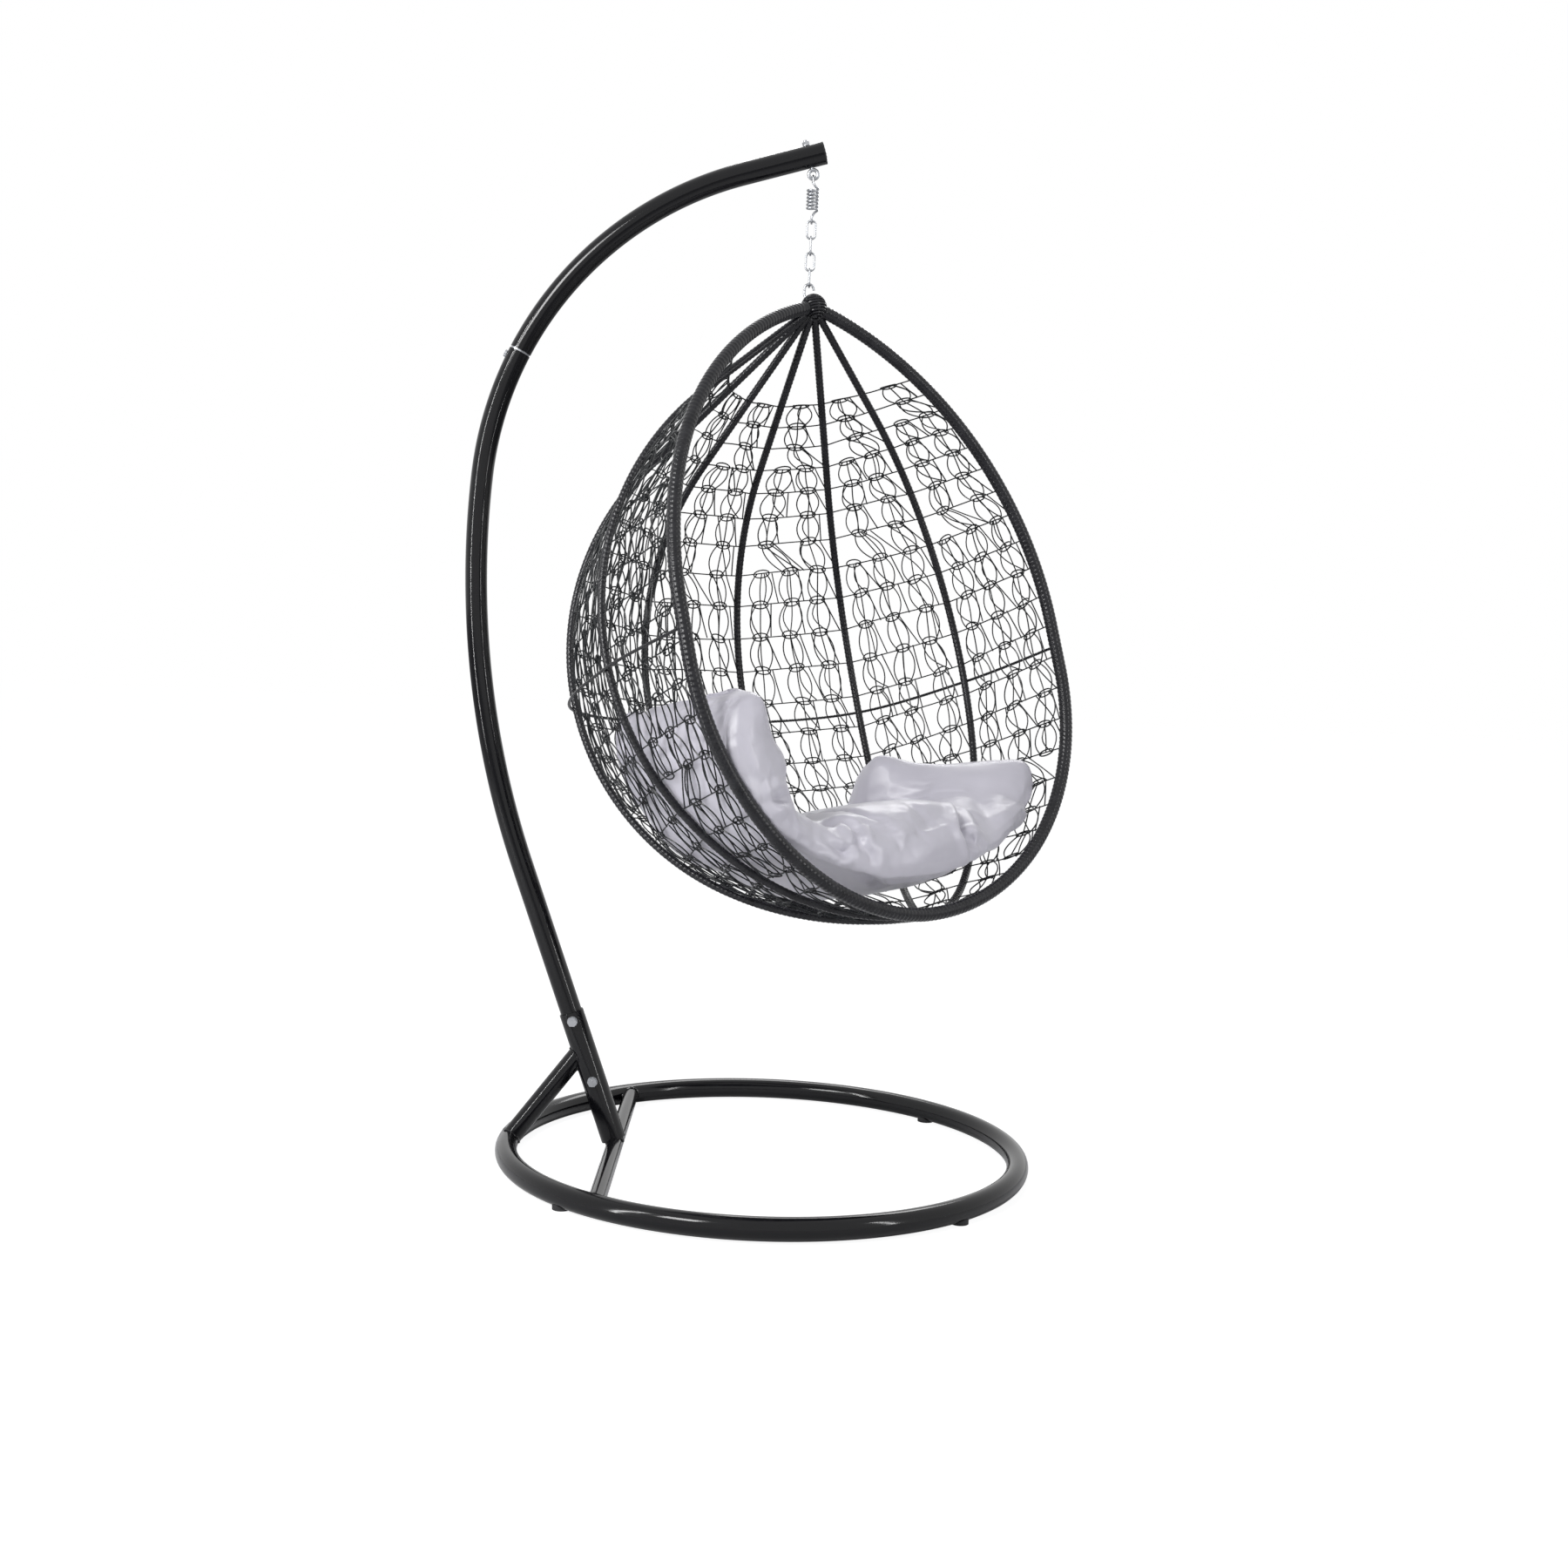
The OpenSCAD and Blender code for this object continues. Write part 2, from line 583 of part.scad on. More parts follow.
module chain_link_2() {
    chain_link(2);
}

module chain_link_3() {
    chain_link(3);
}

module chain_link_4() {
    chain_link(4);
}

// The basket's hook: out of the hub, up its stem, over its bend and down to its tip
hook_path = let (centre = [hang_x, 0, bend_z], knee = [hang_x - bend_r, 0, bend_z - stem_len],
        root = peak + (hub_d / 2 + seat_gap) * unit(knee - peak),
        over = [for (k = [0:10]) let (a = 180 - k * (180 - bend_open) / 10)
            centre + bend_r * [cos(a), 0, sin(a)]])
    concat([for (k = [0:3]) let (t = k / 4)
        bezier(root, root + (knee - root) * 0.6, knee - [0, 0, hook_rod], knee + [0, 0, hook_rod], t)],
        [knee + [0, 0, hook_rod]], over,
        [over[10] + hook_rod * [sin(bend_open), 0, -cos(bend_open)]]);

module basket_hook() {
    color("silver") rod_solid(path_frames(hook_path, [0, 1, 0]), hook_rod, 8);
}

// ---- Basket ----
module in_basket() {
    translate(peak) rotate([0, 0, basket_turn]) rotate([0, -basket_lean, 0]) children();
}

module hub() {
    color("#26262a") in_basket() sphere(d = hub_d);
}

mouth_sides = 10;
mouth_start = sqrt(pow(hub_d / 2 + seat_gap, 2) - pow(mouth_tube / 2 - mouth_wall, 2));
mouth_wrap_until = gusset_r + 2 * wrap;
function mouth_side(turn, from, until) = let (total = rod_length(mouth_rod))
    rod_frames(turn, mouth_rod, from, total - until, [wrap_from, total - mouth_wrap_until]);
function turned_back(frames) = [for (f = backwards(frames)) [f[0], f[1], -f[2]]];

module mouth_tube_frame() {
    foot = frame_of([0, 0, -basket_len], [0, 1, 0], [0, 0, -1]);
    color("#26262a") in_basket() tube_solid(concat(mouth_side(-mouth_turn, mouth_start, mouth_tube), [foot],
        turned_back(mouth_side(mouth_turn, mouth_start, mouth_tube))), mouth_tube, mouth_wall, mouth_sides);
}

module mouth_wrap() {
    color("#26262a") in_basket() for (turn = [-mouth_turn, mouth_turn])
        tube_solid(mouth_side(turn, wrap_from, mouth_wrap_until), 2 * mouth_wrap_r, wrap - slip,
            mouth_sides);
}

rib_sides = 8;
function hoop_run(i) = depth_run(uprights[i][1], hoop_depth, 0, rod_length(uprights[i][1]) / 2);
function rib_frames(i, from, until) = let (rod = uprights[i][1], total = rod_length(rod))
    rod_frames(uprights[i][0], rod, from, total - until, [wrap_from, hoop_run(i), total - wrap_until]);

module rib_rod_at(i) {
    color("#26262a") in_basket() rod_solid(rib_frames(i, hub_d / 2 + seat_gap, gusset_r + seat_gap),
        rib_rod, rib_sides);
}

module rib_wrap_at(i) {
    color("#26262a") in_basket() tube_solid(rib_frames(i, wrap_from, wrap_until), 2 * rib_wrap_r,
        wrap - slip, rib_sides);
}

module rib_rod_1() {
    rib_rod_at(1);
}

module rib_rod_2() {
    rib_rod_at(2);
}

module rib_rod_3() {
    rib_rod_at(3);
}

module rib_rod_4() {
    rib_rod_at(4);
}

module rib_rod_5() {
    rib_rod_at(5);
}

module rib_rod_6() {
    rib_rod_at(6);
}

module rib_wrap_1() {
    rib_wrap_at(1);
}

module rib_wrap_2() {
    rib_wrap_at(2);
}

module rib_wrap_3() {
    rib_wrap_at(3);
}

module rib_wrap_4() {
    rib_wrap_at(4);
}

module rib_wrap_5() {
    rib_wrap_at(5);
}

module rib_wrap_6() {
    rib_wrap_at(6);
}

module rib_gusset() {
    color("#26262a") in_basket() translate([0, 0, -basket_len]) intersection() {
        cylinder(r = gusset_r, h = rib_rod, center = true);
        translate([-2 * gusset_r - mouth_tube / 2 - slip, -2 * gusset_r, -rib_rod])
            cube([2 * gusset_r, 4 * gusset_r, 2 * rib_rod]);
    }
}

// The hoop lies on the outside of the ribs' wraps and ends on the mouth's wrap
hoop_points = let (at_depth = [for (i = [0:ribs + 1]) rod_point(uprights[i][1], hoop_run(i))],
        lift = rib_wrap_r * cos(180 / rib_sides) + hoop_rod / 2 + slip,
        outer = [for (i = [1:ribs]) in_space(uprights[i][0], at_depth[i] + [lift, 0])],
        ends = [for (i = [1, ribs]) let (last = i == 1 ? 0 : ribs + 1,
                from = in_space(i == 1 ? -mouth_turn : mouth_turn, at_depth[last]),
                rib = in_space(uprights[i][0], at_depth[i]), row = unit(rib - from),
                out = unit(outer[i - 1] - rib - ((outer[i - 1] - rib) * row) * row))
            from + (mouth_wrap_r + slip) * row + ((weave + hoop_rod) / 2 + hoop_over_weave) * out])
    concat([ends[0]], outer, [ends[1]]);

module waist_hoop() {
    color("#26262a") in_basket()
        rod_solid(path_frames(smooth_path(hoop_points, 6), [0, 0, 1]), hoop_rod, 6);
}

// Levels of the woven panels: depths above the widest place, then shares of the rods below it
upper_levels = 8;
lower_levels = 12;
weave_end = 0.93;
function level_run(i, level) = let (rod = uprights[i][1], total = rod_length(rod),
        waist = depth_run(rod, widest(i) - 0.01, 0, total / 2 + 100))
    level <= upper_levels
        ? depth_run(rod, weave_top + (widest(i) - weave_top - 0.01) * level / upper_levels, 0, waist)
        : waist + (total - waist) * weave_end * (level - upper_levels) / lower_levels;
function panel_row(i, level) = let (a = upright_point(i, level_run(i, level)),
        b = upright_point(i + 1, level_run(i + 1, level)),
        slope_a = unit(upright_point(i, level_run(i, level) + 1) - a),
        slope_b = unit(upright_point(i + 1, level_run(i + 1, level) + 1) - b),
        row = unit(b - a),
        out = unit(cross(slope_a + slope_b, row)),
        from = a + row * (wrap_radius(i) + slip) / norm(row - (row * slope_a) * slope_a),
        to = b - row * (wrap_radius(i + 1) + slip) / norm(row - (row * slope_b) * slope_b))
    [from + out * weave / 2, to + out * weave / 2, to - out * weave / 2, from - out * weave / 2];

// Both skins of a wall are split along the same diagonals, so that it keeps its thickness where it twists
function wall_band(a, b) = concat([for (n = [0, 1, 2, 3, 6, 7]) band(a, b, 4)[n]],
    [[a + 2, a + 3, b + 2], [a + 3, b + 3, b + 2]]);
module weave_panel(i) {
    last = 4 * (upper_levels + lower_levels);
    points = [for (level = [0:upper_levels + lower_levels], p = panel_row(i - 1, level)) p];
    color("#2c2c30") in_basket() polyhedron(points, concat(
        [for (a = [0:4:last - 4], f = wall_band(a, a + 4)) f], lid(0, 4, true), lid(last, 4, false)),
        convexity = 10);
}

module weave_panel_1() {
    weave_panel(1);
}

module weave_panel_2() {
    weave_panel(2);
}

module weave_panel_3() {
    weave_panel(3);
}

module weave_panel_4() {
    weave_panel(4);
}

module weave_panel_5() {
    weave_panel(5);
}

module weave_panel_6() {
    weave_panel(6);
}

module weave_panel_7() {
    weave_panel(7);
}

// ---- Cushion ----
// One long pillow bent into a seat: from the top of one side pillow, down to the seat and up the other side.
// Stations in the basket's axes: x, y and z of the middle, half width, half thickness, turn and tilt
cushion_sides = 20;
seam_half = 10;
fold_share = 0.5;
cushion_stations = let (seat = seat_thick / 2, pillow = pillow_thick / 2, fold = seat * fold_share) [
    [-150, -350, -745, 150, seam_half, 0, -34],
    [-155, -355, -790, 195, 0.75 * pillow, 0, -34],
    [-160, -340, -870, 210, pillow, 0, -28],
    [-160, -285, -965, 200, pillow, 0, -18],
    [-150, -205, -1022, 185, fold, 0, -10],
    [-150, -90, -1032, 195, seat, 0, -6],
    [-150, 60, -1027, 195, seat, 0, -6],
    [-155, 185, -1000, 180, fold, 0, -10],
    [-180, 258, -950, 185, pillow, 10, -32],
    [-190, 305, -900, 180, pillow, 10, -42],
    [-195, 325, -860, 150, seam_half, 10, -42]];
cushion_path = smooth_path(cushion_stations, 5);
cushion_middle = [for (q = cushion_path) [q[0], q[1], q[2]]];
function rounded(c, power) = sign(c) * pow(abs(c), power);
// The basket's wall holds the cushion in: reach of the wall at a turn from the back and a depth
press_room = 0.8 * rib_wrap_r;
function upright_reach(i, depth) = let (rod = uprights[i][1])
    rod_point(rod, depth_run(rod, depth, 0, rod_length(rod))).x;
function wall_reach(turn, depth) = let (
        i = max([for (k = [0:ribs]) if (k == 0 || uprights[k][0] <= turn) k]),
        span = uprights[i + 1][0] - uprights[i][0], part = min(max(turn - uprights[i][0], 0), span),
        a = upright_reach(i, depth), b = upright_reach(i + 1, depth))
    a * b * sin(span) / (a * sin(part) + b * sin(span - part));
function pressed(p) = let (reach = norm([p.x, p.y]),
        limit = wall_reach(atan2(p.y, -p.x), press_room - p.z) - press_room)
    reach <= limit ? p : [p.x * limit / reach, p.y * limit / reach, p.z];
function cushion_ring(q, middle, forward) = let (flat = [cos(q[5]), sin(q[5]), tan(q[6])],
        wide = unit(flat - (flat * forward) * forward), thick = cross(forward, wide))
    [for (k = [0:cushion_sides - 1]) let (a = 360 * k / cushion_sides)
        pressed(middle + rounded(cos(a), 0.6) * q[3] * wide + rounded(sin(a), 0.8) * q[4] * thick)];

module cushion() {
    headings = tangents(cushion_middle);
    color("#cfcdd8") in_basket() ring_solid([for (i = [0:len(cushion_path) - 1])
        for (p = cushion_ring(cushion_path[i], cushion_middle[i], headings[i])) p], cushion_sides);
}

base_ring();
crossbar();
pole_socket();
rear_brace();
foot_pads();
socket_bolts();
socket_washers();
socket_nuts();
lower_pole();
pole_spigot();
upper_pole();
pole_joint_screw();
pole_joint_nut();
pole_end_cap();
eye_bolt();
eye_washer();
eye_nut();
spring();
chain_link_1();
chain_link_2();
chain_link_3();
chain_link_4();
basket_hook();
hub();
mouth_tube_frame();
mouth_wrap();
rib_rod_1();
rib_rod_2();
rib_rod_3();
rib_rod_4();
rib_rod_5();
rib_rod_6();
rib_wrap_1();
rib_wrap_2();
rib_wrap_3();
rib_wrap_4();
rib_wrap_5();
rib_wrap_6();
rib_gusset();
waist_hoop();
weave_panel_1();
weave_panel_2();
weave_panel_3();
weave_panel_4();
weave_panel_5();
weave_panel_6();
weave_panel_7();
cushion();
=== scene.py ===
import json
import math

import bpy
import numpy as np
from mathutils import Matrix, Vector
from mathutils.bvhtree import BVHTree


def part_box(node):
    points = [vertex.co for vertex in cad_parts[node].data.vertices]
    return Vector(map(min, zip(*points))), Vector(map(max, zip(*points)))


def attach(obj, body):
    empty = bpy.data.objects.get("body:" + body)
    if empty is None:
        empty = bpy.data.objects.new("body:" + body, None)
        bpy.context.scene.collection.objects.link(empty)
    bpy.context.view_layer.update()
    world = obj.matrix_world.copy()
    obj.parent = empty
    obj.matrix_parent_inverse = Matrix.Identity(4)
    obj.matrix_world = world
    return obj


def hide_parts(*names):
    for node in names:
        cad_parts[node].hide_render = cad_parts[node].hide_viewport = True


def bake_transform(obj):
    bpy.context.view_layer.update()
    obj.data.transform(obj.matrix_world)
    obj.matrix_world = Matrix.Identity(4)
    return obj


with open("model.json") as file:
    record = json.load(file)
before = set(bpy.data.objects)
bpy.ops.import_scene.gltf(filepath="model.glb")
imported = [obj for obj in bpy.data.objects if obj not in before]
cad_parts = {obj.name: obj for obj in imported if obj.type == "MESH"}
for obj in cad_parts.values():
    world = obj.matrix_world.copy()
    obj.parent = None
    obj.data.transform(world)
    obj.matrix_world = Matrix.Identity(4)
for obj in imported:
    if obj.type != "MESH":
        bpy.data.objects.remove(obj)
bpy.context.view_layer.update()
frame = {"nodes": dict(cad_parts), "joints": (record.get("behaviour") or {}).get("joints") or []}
scene = bpy.context.scene
scene.view_settings.view_transform = "Standard"

# ---- Camera, floor and lamps ----
# A plain pale studio: one large soft lamp, a tall narrow lamp for the highlight on the tubes,
# and a white surround that the gloss paint and the zinc mirror.
yaw, dip, roll = 0.0091, 0.0698, 0.039
camera_place = Vector((-0.0166, -3.4897, 0.990))
sensor, lens = 36, 41.3
ahead = Vector((math.sin(yaw) * math.cos(dip), math.cos(yaw) * math.cos(dip), -math.sin(dip)))
level = Vector((math.cos(yaw), -math.sin(yaw), 0))
upward = level.cross(ahead)
across = math.cos(roll) * level + math.sin(roll) * upward
upward = across.cross(ahead)
bpy.ops.object.camera_add()
camera = bpy.context.object
camera_turn = Matrix((across, upward, -ahead)).transposed().to_4x4()
camera.matrix_world = Matrix.Translation(camera_place) @ camera_turn
camera.data.sensor_width = sensor
camera.data.lens = lens
scene.camera = camera


def soft_lamp(name, place, target, width, height, watts):
    bpy.ops.object.light_add(type="AREA", location=place)
    lamp = bpy.context.object
    lamp.name = name
    lamp.data.shape = "RECTANGLE"
    lamp.data.size = width
    lamp.data.size_y = height
    lamp.data.energy = watts
    lamp.rotation_euler = (Vector(target) - Vector(place)).to_track_quat("-Z", "Y").to_euler()


soft_lamp("key_lamp", (-2.2, -3.0, 3.4), (0, 0, 1.0), 1.2, 1.2, 100)
soft_lamp("strip_lamp", (-2.4, -1.6, 1.6), (-0.3, 0, 1.0), 0.06, 2.6, 38)
soft_lamp("fill_lamp", (2.8, -2.2, 1.8), (0, 0, 0.9), 0.12, 2.2, 26)
soft_lamp("back_lamp", (0.6, 2.6, 2.8), (0, 0, 1.2), 1.8, 1.0, 35)

world = bpy.data.worlds.new("studio")
scene.world = world
world.use_nodes = True
sky = world.node_tree.nodes
wires = world.node_tree.links
sky.clear()
out = sky.new("ShaderNodeOutputWorld")
path = sky.new("ShaderNodeLightPath")
seen = sky.new("ShaderNodeMath")
seen.operation = "MAXIMUM"
shown = sky.new("ShaderNodeMath")
shown.operation = "MAXIMUM"
lit = sky.new("ShaderNodeBackground")
lit.inputs["Color"].default_value = (0.97, 0.98, 1.0, 1)
lit.inputs["Strength"].default_value = 0.34
backdrop = sky.new("ShaderNodeBackground")
backdrop.inputs["Color"].default_value = (1, 1, 1, 1)
backdrop.inputs["Strength"].default_value = 1.0
either = sky.new("ShaderNodeMixShader")
wires.new(path.outputs["Is Camera Ray"], seen.inputs[0])
wires.new(path.outputs["Is Glossy Ray"], seen.inputs[1])
wires.new(seen.outputs[0], shown.inputs[0])
wires.new(path.outputs["Is Transmission Ray"], shown.inputs[1])
wires.new(shown.outputs[0], either.inputs[0])
wires.new(lit.outputs[0], either.inputs[1])
wires.new(backdrop.outputs[0], either.inputs[2])
wires.new(either.outputs[0], out.inputs["Surface"])

bpy.ops.object.select_all(action="DESELECT")
bpy.ops.mesh.primitive_plane_add(size=60, location=(0, 0, 0))
floor = bpy.context.object
floor.name = "studio_floor"
floor_paint = bpy.data.materials.new("studio_floor")
floor_paint.use_nodes = True
tree = floor_paint.node_tree
tree.nodes.clear()
matt = tree.nodes.new("ShaderNodeBsdfDiffuse")
matt.inputs["Color"].default_value = (0.93, 0.93, 0.94, 1)
glow = tree.nodes.new("ShaderNodeEmission")
glow.inputs["Color"].default_value = (1, 1, 1, 1)
glow.inputs["Strength"].default_value = 1.27
view_ray = tree.nodes.new("ShaderNodeLightPath")
share = tree.nodes.new("ShaderNodeMath")
share.operation = "MULTIPLY"
share.inputs[1].default_value = 0.72
paler = tree.nodes.new("ShaderNodeMixShader")
floor_out = tree.nodes.new("ShaderNodeOutputMaterial")
tree.links.new(view_ray.outputs["Is Camera Ray"], share.inputs[0])
tree.links.new(share.outputs[0], paler.inputs[0])
tree.links.new(matt.outputs[0], paler.inputs[1])
tree.links.new(glow.outputs[0], paler.inputs[2])
tree.links.new(paler.outputs[0], floor_out.inputs["Surface"])
floor.data.materials.append(floor_paint)

# ---- Ground ring and its foot pads ----
# A steel tube rolled to a ring of 1 m and welded shut, powder coated gloss black.
# Rubber pads clip under it and carry it a few millimetres off the floor.
ring_r, tube_d, bar_z, ring_steps = 0.5, 0.042, 0.024, 192


def finish_of(name, colour, roughness, metal=0.0, specular=0.3):
    material = bpy.data.materials.new(name)
    material.use_nodes = True
    shader = material.node_tree.nodes["Principled BSDF"]
    shader.inputs["Base Color"].default_value = (*colour, 1)
    shader.inputs["Roughness"].default_value = roughness
    shader.inputs["Metallic"].default_value = metal
    shader.inputs["Specular IOR Level"].default_value = specular
    return material


def noise_on(material, scale, detail):
    nodes, links = material.node_tree.nodes, material.node_tree.links
    place = nodes.new("ShaderNodeTexCoord")
    noise = nodes.new("ShaderNodeTexNoise")
    noise.inputs["Scale"].default_value = scale
    noise.inputs["Detail"].default_value = detail
    links.new(place.outputs["Object"], noise.inputs["Vector"])
    return noise


def bumps(material, scale, height, strength=0.5, detail=3.0):
    nodes, links = material.node_tree.nodes, material.node_tree.links
    noise = noise_on(material, scale, detail)
    bump = nodes.new("ShaderNodeBump")
    bump.inputs["Distance"].default_value = height
    bump.inputs["Strength"].default_value = strength
    links.new(noise.outputs["Fac"], bump.inputs["Height"])
    shader = nodes["Principled BSDF"]
    if shader.inputs["Normal"].is_linked:
        links.new(shader.inputs["Normal"].links[0].from_socket, bump.inputs["Normal"])
    links.new(bump.outputs["Normal"], shader.inputs["Normal"])


def varied(material, socket, low, high, scale):
    nodes, links = material.node_tree.nodes, material.node_tree.links
    noise = noise_on(material, scale, 4.0)
    ramp = nodes.new("ShaderNodeValToRGB")
    for stop, value in zip(ramp.color_ramp.elements, (low, high)):
        stop.color = (*value, 1) if hasattr(value, "__len__") else (value, value, value, 1)
    ramp.color_ramp.elements[0].position = 0.3
    ramp.color_ramp.elements[1].position = 0.7
    links.new(noise.outputs["Fac"], ramp.inputs["Fac"])
    links.new(ramp.outputs["Color"], nodes["Principled BSDF"].inputs[socket])


powder_coat = finish_of("gloss_black_powder_coat", (0.003, 0.003, 0.004), 0.12)
bumps(powder_coat, 420, 0.0002, 0.25, 2.0)
varied(powder_coat, "Roughness", 0.08, 0.15, 9)


def placed(piece, body, slot, material, *stands_for):
    piece.data.materials.clear()
    piece.data.materials.append(material)
    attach(piece, body)
    if stands_for:
        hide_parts(*stands_for)
    return piece


def drawn_tube(name, lines, diameter, around=24, closed=False):
    shape = bpy.data.curves.new(name, "CURVE")
    shape.dimensions = "3D"
    shape.bevel_depth = diameter / 2
    shape.bevel_resolution = max(0, around // 2 - 2)
    shape.use_fill_caps = not closed
    for line in lines:
        spline = shape.splines.new("POLY")
        spline.points.add(len(line) - 1)
        spline.points.foreach_set("co", np.c_[np.asarray(line), np.ones(len(line))].ravel())
        spline.use_cyclic_u = closed
    piece = bpy.data.objects.new(name, shape)
    scene.collection.objects.link(piece)
    bpy.ops.object.select_all(action="DESELECT")
    piece.select_set(True)
    bpy.context.view_layer.objects.active = piece
    bpy.ops.object.convert(target="MESH")
    piece = bpy.context.object
    bpy.ops.object.shade_smooth_by_angle(angle=math.radians(40))
    return piece


turn = np.linspace(0, 2 * math.pi, ring_steps, endpoint=False)
ring_line = np.c_[ring_r * np.cos(turn), ring_r * np.sin(turn), np.full(ring_steps, bar_z)]
placed(drawn_tube("ground_ring", [ring_line], tube_d, 28, closed=True), "stand", "powder_coat",
       powder_coat, "base_ring")

rubber = finish_of("foot_rubber", (0.03, 0.03, 0.032), 0.7)
bumps(rubber, 900, 0.0003)
varied(rubber, "Roughness", 0.6, 0.8, 60)


def give(material, *names):
    for name in names:
        node = frame["nodes"][name]
        node.data.materials.clear()
        node.data.materials.append(material)


give(rubber, "foot_pads")

# ---- Crossbar, pole socket and rear brace ----
# Three straight tubes welded to the ring and to each other, with a bead of weld round each joint.
# The socket leans back and takes the foot of the pole.
crossbar_back, crossbar_d, brace_d = 0.290, 0.032, 0.038
socket_len, socket_d, socket_lean, brace_drop = 0.276, 0.048, math.radians(20), 0.076
socket_foot = np.array([-crossbar_back, 0, bar_z])
socket_way = np.array([-math.sin(socket_lean), 0, math.cos(socket_lean)])
brace_foot = np.array([-ring_r, 0, bar_z])
brace_top = socket_foot + (socket_len - brace_drop) * socket_way
half_bar = math.sqrt(ring_r ** 2 - crossbar_back ** 2)


def stretch(a, b, steps=12):
    return np.asarray(a) + np.linspace(0, 1, steps)[:, None] * (np.asarray(b) - np.asarray(a))


crossbar_line = stretch((-crossbar_back, -half_bar, bar_z), (-crossbar_back, half_bar, bar_z))
placed(drawn_tube("crossbar_tube", [crossbar_line], crossbar_d), "stand", "powder_coat",
       powder_coat, "crossbar")
placed(drawn_tube("brace_tube", [stretch(brace_foot, brace_top)], brace_d), "stand", "powder_coat",
       powder_coat, "rear_brace")


def turned_tube(name, foot, way, profile, around=48):
    """A profile of (distance along, radius) spun round a line."""
    way = Vector(way).normalized()
    side = way.orthogonal().normalized()
    points = [Vector(foot) + s * way + r * side for s, r in profile]
    mesh = bpy.data.meshes.new(name)
    mesh.from_pydata(points, [(i, i + 1) for i in range(len(points) - 1)], [])
    piece = bpy.data.objects.new(name, mesh)
    scene.collection.objects.link(piece)
    bpy.ops.object.select_all(action="DESELECT")
    piece.select_set(True)
    bpy.context.view_layer.objects.active = piece
    bpy.ops.object.mode_set(mode="EDIT")
    bpy.ops.mesh.select_all(action="SELECT")
    bpy.ops.mesh.spin(steps=around, angle=2 * math.pi, center=Vector(foot), axis=way)
    bpy.ops.mesh.select_all(action="SELECT")
    bpy.ops.mesh.remove_doubles(threshold=1e-6)
    bpy.ops.mesh.normals_make_consistent(inside=False)
    bpy.ops.object.mode_set(mode="OBJECT")
    bpy.ops.object.shade_smooth_by_angle(angle=math.radians(35))
    return piece


socket = turned_tube("socket_tube", socket_foot, socket_way, [
    (0.010, 0.0215), (0.010, 0.024), (0.2750, 0.024), (0.2757, 0.0237), (0.276, 0.0232), (0.276, 0.0222),
    (0.2755, 0.0215), (0.2700, 0.0215), (0.010, 0.0215)])
placed(socket, "stand", "powder_coat", powder_coat, "pole_socket")


bead_d, bead_ripple = 0.005, 0.0006


def weld_bead(name, points, width=bead_d):
    """A bead along a closed seam, rippled in and out from the seam's middle."""
    outward = points - np.mean(points, axis=0)
    outward /= np.linalg.norm(outward, axis=1)[:, None]
    ripple = bead_ripple * np.sin(37 * np.arange(len(points)))
    wavy = points + ripple[:, None] * outward
    placed(drawn_tube(name, [wavy], width, 8, closed=True), "stand", "powder_coat", powder_coat)


def seam_on_tube(foot, way, bar_point, bar_way, bar_radius, radius, count=72):
    """Where a tube from foot along way runs into the tube through bar_point along bar_way."""
    way, bar_way = (np.asarray(w) / np.linalg.norm(w) for w in (way, bar_way))
    bar_point = np.asarray(bar_point)
    side = np.cross(way, bar_way)
    side /= np.linalg.norm(side)
    other = np.cross(way, side)
    found = []
    for a in np.linspace(0, 2 * math.pi, count, endpoint=False):
        start = np.asarray(foot) + radius * (math.cos(a) * side + math.sin(a) * other) - bar_point
        flat, run = start - (start @ bar_way) * bar_way, way - (way @ bar_way) * bar_way
        half = flat @ run / (run @ run)
        inside = max(0.0, half ** 2 - (flat @ flat - bar_radius ** 2) / (run @ run))
        found.append(start + bar_point + (-half + math.sqrt(inside)) * way)
    return np.array(found)


sideways = (0, 1, 0)
weld_bead("socket_foot_weld",
          seam_on_tube(socket_foot, socket_way, socket_foot, sideways, crossbar_d / 2, 0.0162), 0.006)
weld_bead("brace_foot_weld",
          seam_on_tube(brace_foot, brace_top - brace_foot, brace_foot, sideways, tube_d / 2, brace_d / 2))
weld_bead("brace_top_weld",
          seam_on_tube(brace_top, brace_foot - brace_top, brace_top, socket_way, socket_d / 2, brace_d / 2))
for side, name in ((-1, "crossbar_weld_right"), (1, "crossbar_weld_left")):
    end = np.array([-crossbar_back, side * half_bar, bar_z])
    ring_way = (half_bar, side * crossbar_back, 0)
    weld_bead(name, seam_on_tube(end, (0, -side, 0), end, ring_way, tube_d / 2, crossbar_d / 2))

# ---- Pole ----
# Two bowed tubes that meet over an inner spigot with a bright seam, locked by one screw.
# The foot stands in the socket and a plastic cap closes the tip.
def bow(start, lean, radius, until, steps):
    centre = start + radius * np.array([math.cos(lean), -math.sin(lean)])
    leans = np.linspace(lean, until, steps)
    return centre + radius * np.c_[-np.cos(leans), np.sin(leans)]


